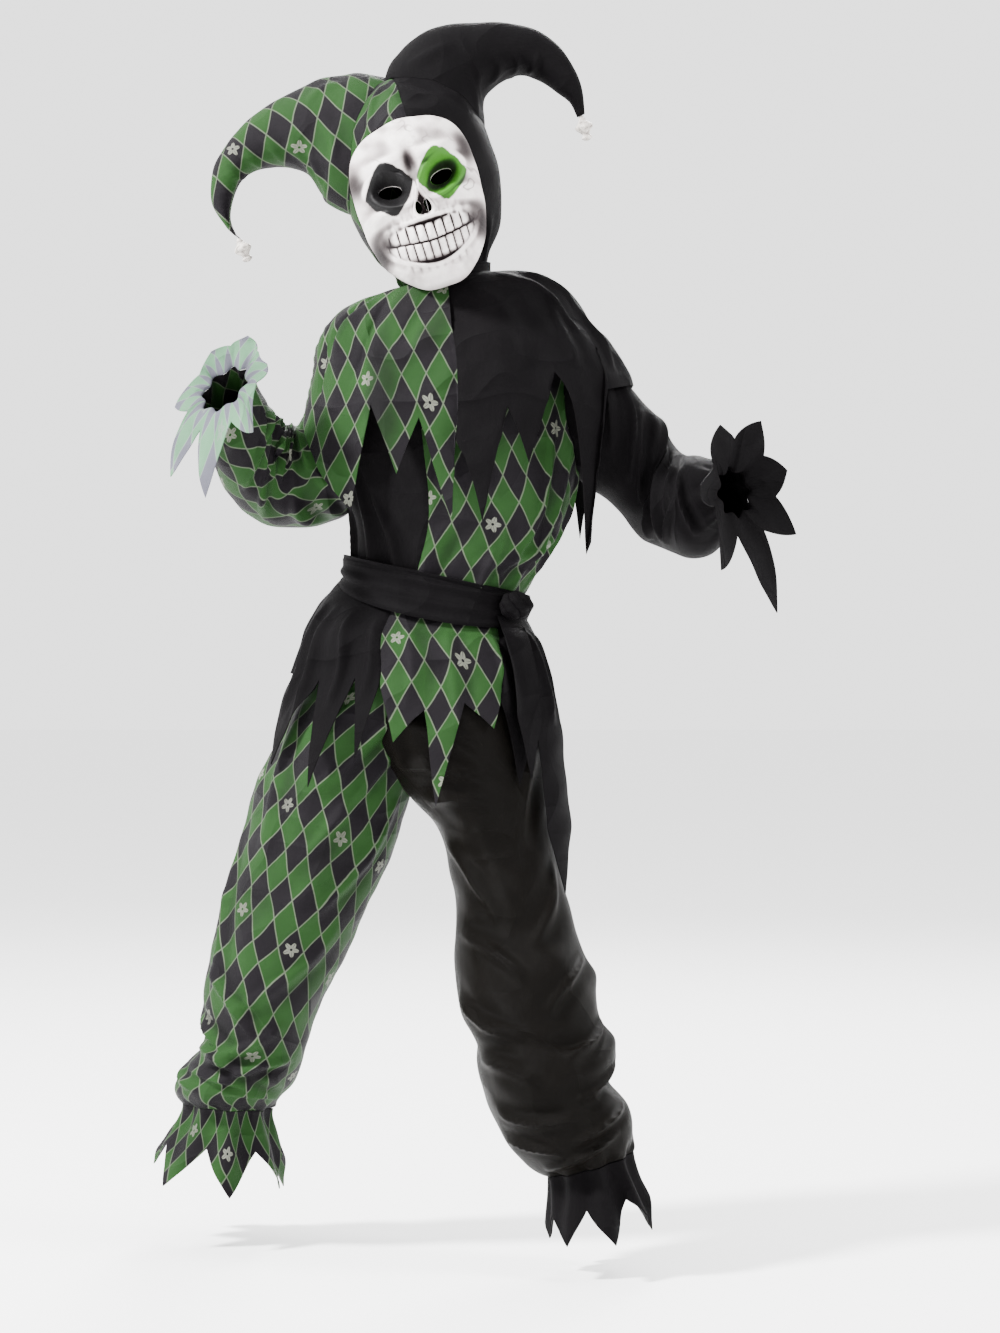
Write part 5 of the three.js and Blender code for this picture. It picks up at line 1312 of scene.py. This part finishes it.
# Head
edge_side, edge_up = mask_edge(np.arange(96) * TURN / 96, 0.7)
opening = face_cutter(edge_side, np.maximum(edge_up, -84), -200, 10)
hood_inside = form_of(hood, 120, 96, 0.35)
for name, low, high, outside, inside, slot in (
    ("hood_right", 90, 270, PRINT, PRINT_BACK, "printed_cloth"),
    ("hood_left", -90, 90, BLACK_CLOTH, BLACK_BACK, "black_cloth"),
):
    piece = cloth_piece(name + "_cloth", hood, even_columns(low, high, 85, 0, 9), 92)
    cut_away(piece, opening)
    sewn(piece, name, outside, inside)
horn_columns = even_columns(0, 360, 84, 0, 11, True)
for hand, outside, slot in (("left", BLACK_CLOTH, "black_cloth"), ("right", PRINT, "printed_cloth")):
    piece = filled_form("horn_%s_stuffed" % hand, horns[hand], horn_columns, 130, 0.0, True)
    cut_away(piece, hood_inside, opening)
    if hand == "right":
        other = filled_form("form", horns["left"], horn_columns, 130, 0.45)
        cut_away(piece, other)
        discard(other)
    finished(piece, "horn_" + hand, outside, outside)
mask = mask_shell()
holes = []
for hand in (-1, 1):
    holes.append(face_cutter(*oval(hand * 31, 1, 14, 7.5, hand * math.radians(18)), -200, 0))
    holes.append(face_cutter(*oval(hand * 5.5, -29, 3.8, 8, hand * math.radians(10)), -200, 0))
cut_away(mask, *holes)
finished(mask, "mask", SHELL, SHELL)
finished(bead("charm_right_bead", (-249, -20, 53.6), math.radians(-24)), "charm_right", BEAD, BEAD)
finished(bead("charm_left_bead", (160, -20, 199.6), math.radians(-16)), "charm_left", BEAD, BEAD)
discard(opening, hood_inside, *holes)

# Tunic and sleeves
shirt_inside = form_of(shirt, 200, 140, 0.5)
armholes = [form_of(sleeves[hand], 130, 130, 0.4) for hand in ("right", "left")]
for name, low, high, outside, inside, slot in (
    ("tunic_front_right", 180, 258, BLACK_CLOTH, BLACK_BACK, "black_cloth"),
    ("tunic_front_left", 258, 360, PRINT, PRINT_BACK, "printed_cloth"),
    ("tunic_back_left", 0, 90, PRINT, PRINT_BACK, "printed_cloth"),
    ("tunic_back_right", 90, 180, BLACK_CLOTH, BLACK_BACK, "black_cloth"),
):
    piece = cloth_piece(name + "_cloth", shirt, even_columns(low, high, 65, 0, 8.98), 112,
                        reference=258 if low >= 180 else 90, level=-120)
    cut_away(piece, *armholes)
    sewn(piece, name, outside, inside)
for hand, outside, inside, slot in (
    ("right", PRINT, PRINT_BACK, "printed_cloth"), ("left", BLACK_CLOTH, BLACK_BACK, "black_cloth"),
):
    surface = sleeves[hand]
    columns = even_columns(180, 540, 112, 0, surface.last - 0.01, True)
    piece = cloth_piece("sleeve_%s_cloth" % hand, surface, columns, 124, True, reference=360)
    cut_away(piece, shirt_inside)
    sewn(piece, "sleeve_" + hand, outside, inside)
discard(*armholes)

# Cape
for name, outside, inside, slot in (
    ("cape_front_left", BLACK_CLOTH, BLACK_BACK, "black_cloth"),
    ("cape_back_left", BLACK_CLOTH, BLACK_BACK, "black_cloth"),
    ("cape_back_right", PRINT, PRINT_BACK, "printed_cloth"),
    ("cape_front_right", PRINT, PRINT_BACK, "printed_cloth"),
):
    piece = cloth_piece(name + "_cloth", cape, dag_columns(cape, CAPE_DAGS[name], 14), 64,
                        reference={"cape_front_right": 258, "cape_front_left": -90}.get(name, 90), level=-150)
    sewn(piece, name, outside, inside)
band = Hood(HOOD_RINGS, 2.0, HOOD_FOLDS, drape=0.3)
piece = cloth_piece("neckband_cloth", band, even_columns(0, 360, 150, 0.55, 1.45, True), 24, True, 3.0, 4.3)
cape_skin = [
    cloth_piece("skin", cape, dag_columns(cape, dags, 14), 64, wall=CLOTH + 0.7, lift=0.35, seams=False)
    for dags in CAPE_DAGS.values()
]
cut_away(piece, shirt_inside, *cape_skin)
discard(*cape_skin)
sewn(piece, "neckband", BLACK_CLOTH, BLACK_BACK)

# Sash, knot and skirt
sash_columns = even_columns(0, 360, 220, 0, 3, True)
piece = cloth_piece("sash_cloth", sash, sash_columns, 40, True, 3.0, 1.0)
cut_away(piece, shirt_inside)
sash_inside = filled_form("form", sash, sash_columns, 40, 1.4)
knot = knot_form()
cut_away(knot, sash_inside, shirt_inside)
finished(knot, "knot", BLACK_CLOTH, BLACK_CLOTH)
sewn(piece, "sash", BLACK_CLOTH, BLACK_BACK)
for name, outside, inside, slot in (
    ("skirt_right", BLACK_CLOTH, BLACK_BACK, "black_cloth"),
    ("skirt_front", PRINT, PRINT_BACK, "printed_cloth"),
    ("skirt_left", BLACK_CLOTH, BLACK_BACK, "black_cloth"),
    ("skirt_back_left", PRINT, PRINT_BACK, "printed_cloth"),
    ("skirt_back_right", BLACK_CLOTH, BLACK_BACK, "black_cloth"),
):
    piece = cloth_piece(name + "_cloth", skirt, dag_columns(skirt, SKIRT_DAGS[name], 14), 64, level=-450)
    cut_away(piece, sash_inside, shirt_inside)
    sewn(piece, name, outside, inside)
for name, top, bottom, half, offset, end in (
    ("tail_outer", -34, -27, 11, 9, 6.8), ("tail_inner", -40, -44, 9, 13, 4.9),
):
    across = np.linspace(-1, 1, 33)
    columns = {"top": np.radians(top + across * half), "angle": np.radians(bottom + across * half * 0.8),
               "start": 0 * across + 0.35, "end": end - np.abs(across) * 1.1}
    piece = cloth_piece(name + "_cloth", skirt, columns, 120, lift=offset, seams=False)
    cut_away(piece, knot, sash_inside)
    sewn(piece, name, BLACK_CLOTH, BLACK_BACK)
discard(sash_inside)

# Trousers: each leg is cut back to the other's surface at the middle seam
for hand, other, outside, inside, slot in (
    ("right", "left", PRINT, PRINT_BACK, "printed_cloth"),
    ("left", "right", SATIN, BLACK_BACK, "black_satin"),
):
    surface = legs[hand]
    columns = even_columns(70, 430, 136, 0, surface.last - 0.01, True)
    piece = cloth_piece("leg_%s_cloth" % hand, surface, columns, 150, True, reference=250)
    rival = form_of(legs[other], 150, 170, 0.3)
    cut_away(piece, rival)
    hem = Tube(SHIRT_RINGS, 2.3, SHIRT_FOLDS, creases=CREASES["shirt"])
    band_cut = cloth_piece("hem", hem, even_columns(0, 360, 200, 5, 8.98, True), 60, True, CLOTH + 0.9, 0.45)
    cut_away(piece, band_cut)
    discard(rival, band_cut)
    sewn(piece, "leg_" + hand, outside, inside)

# Wrist and ankle flounces
for name, tube, shape, lengths, outside, inside, slot in (
    ("cuff_right", sleeves["right"], (30, 48, 88, 0), (0.8, 0.7, 0.85, 1, 1.05, 0.95, 0.9),
     PRINT_BACK, PRINT, "printed_cloth"),
    ("cuff_left", sleeves["left"], (34, 70, 26, 0), (0.95, 0.8, 0.9, 1.32, 1.2, 1.05, 1),
     BLACK_CLOTH, BLACK_BACK, "black_cloth"),
    ("ankle_right", legs["right"], (98, 56, 14, -34), (1, 0.9, 0.96, 0.86, 1.02, 1.06, 0.96),
     PRINT, PRINT_BACK, "printed_cloth"),
    ("ankle_left", legs["left"], (90, 34, 16, -32), (1.14, 0.95, 0.9, 0.85, 0.9, 1, 0.95),
     BLACK_CLOTH, BLACK_BACK, "black_cloth"),
):
    plain = Tube(tube.rings, tube.power, tube.folds, tube.gathers)
    surface = Cuff(plain, *shape, len(lengths), 5)
    half = math.pi / len(lengths)
    steps = 15
    angle = np.arange(2 * steps * len(lengths)) * half / steps
    rise = 1 - np.abs((angle / half) % 2 - 1)
    longest = np.repeat(np.array(lengths), 2 * steps)
    columns = {"top": angle, "angle": angle, "start": 0 * angle + 0.01, "end": 0.52 + (longest - 0.52) * rise}
    piece = cloth_piece(name + "_cloth", surface, columns, 32, True, gathered=True)
    sewn(piece, name, outside, inside)
discard(shirt_inside)

# Floor, light and camera
FLOOR_REACH, FLOOR_LEVEL = 30.0, -1.166
floor_mesh = bpy.data.meshes.new("floor")
ways = ((-1, -1), (1, -1), (1, 1), (-1, 1))
floor_corners = [(x * FLOOR_REACH, y * FLOOR_REACH, FLOOR_LEVEL) for x, y in ways]
floor_mesh.from_pydata(floor_corners, [], [(0, 1, 2, 3)])
floor = bpy.data.objects.new("floor", floor_mesh)
bpy.context.scene.collection.objects.link(floor)
pale = Finish("pale_floor")
pale.surface(Base_Color=(0.94, 0.94, 0.94, 1.0), Roughness=1.0, Specular_IOR_Level=0.0)
floor_mesh.materials.append(pale.material)

world = bpy.data.worlds.new("studio")
bpy.context.scene.world = world
world.use_nodes = True
world.node_tree.nodes["Background"].inputs[0].default_value = (1.0, 1.0, 1.0, 1.0)
world.node_tree.nodes["Background"].inputs[1].default_value = 2.4


def soft_light(name, place, aim, size, power):
    lamp = bpy.data.lights.new(name, "AREA")
    lamp.shape, lamp.size, lamp.energy = "DISK", size, power
    obj = bpy.data.objects.new(name, lamp)
    bpy.context.scene.collection.objects.link(obj)
    obj.location = place
    direction = np.array(aim) - np.array(place)
    obj.rotation_euler = Vector(direction).to_track_quat("-Z", "Y").to_euler()
    return obj


soft_light("key", (-2.7, -1.3, 2.3), (0, 0, -0.4), 0.6, 760)
soft_light("side", (2.6, -1.0, 1.0), (0, 0, -0.5), 1.0, 130)
soft_light("behind", (0.6, 2.8, 1.8), (0, 0, -0.4), 1.4, 190)

camera_data = bpy.data.cameras.new("camera")
camera_data.lens = 81.0
camera_data.sensor_width = 36
camera = bpy.data.objects.new("camera", camera_data)
camera.location = (0.0636, -3.6, -0.4578)
camera.rotation_euler = (math.pi / 2, 0, 0)
bpy.context.scene.collection.objects.link(camera)
bpy.context.scene.camera = camera
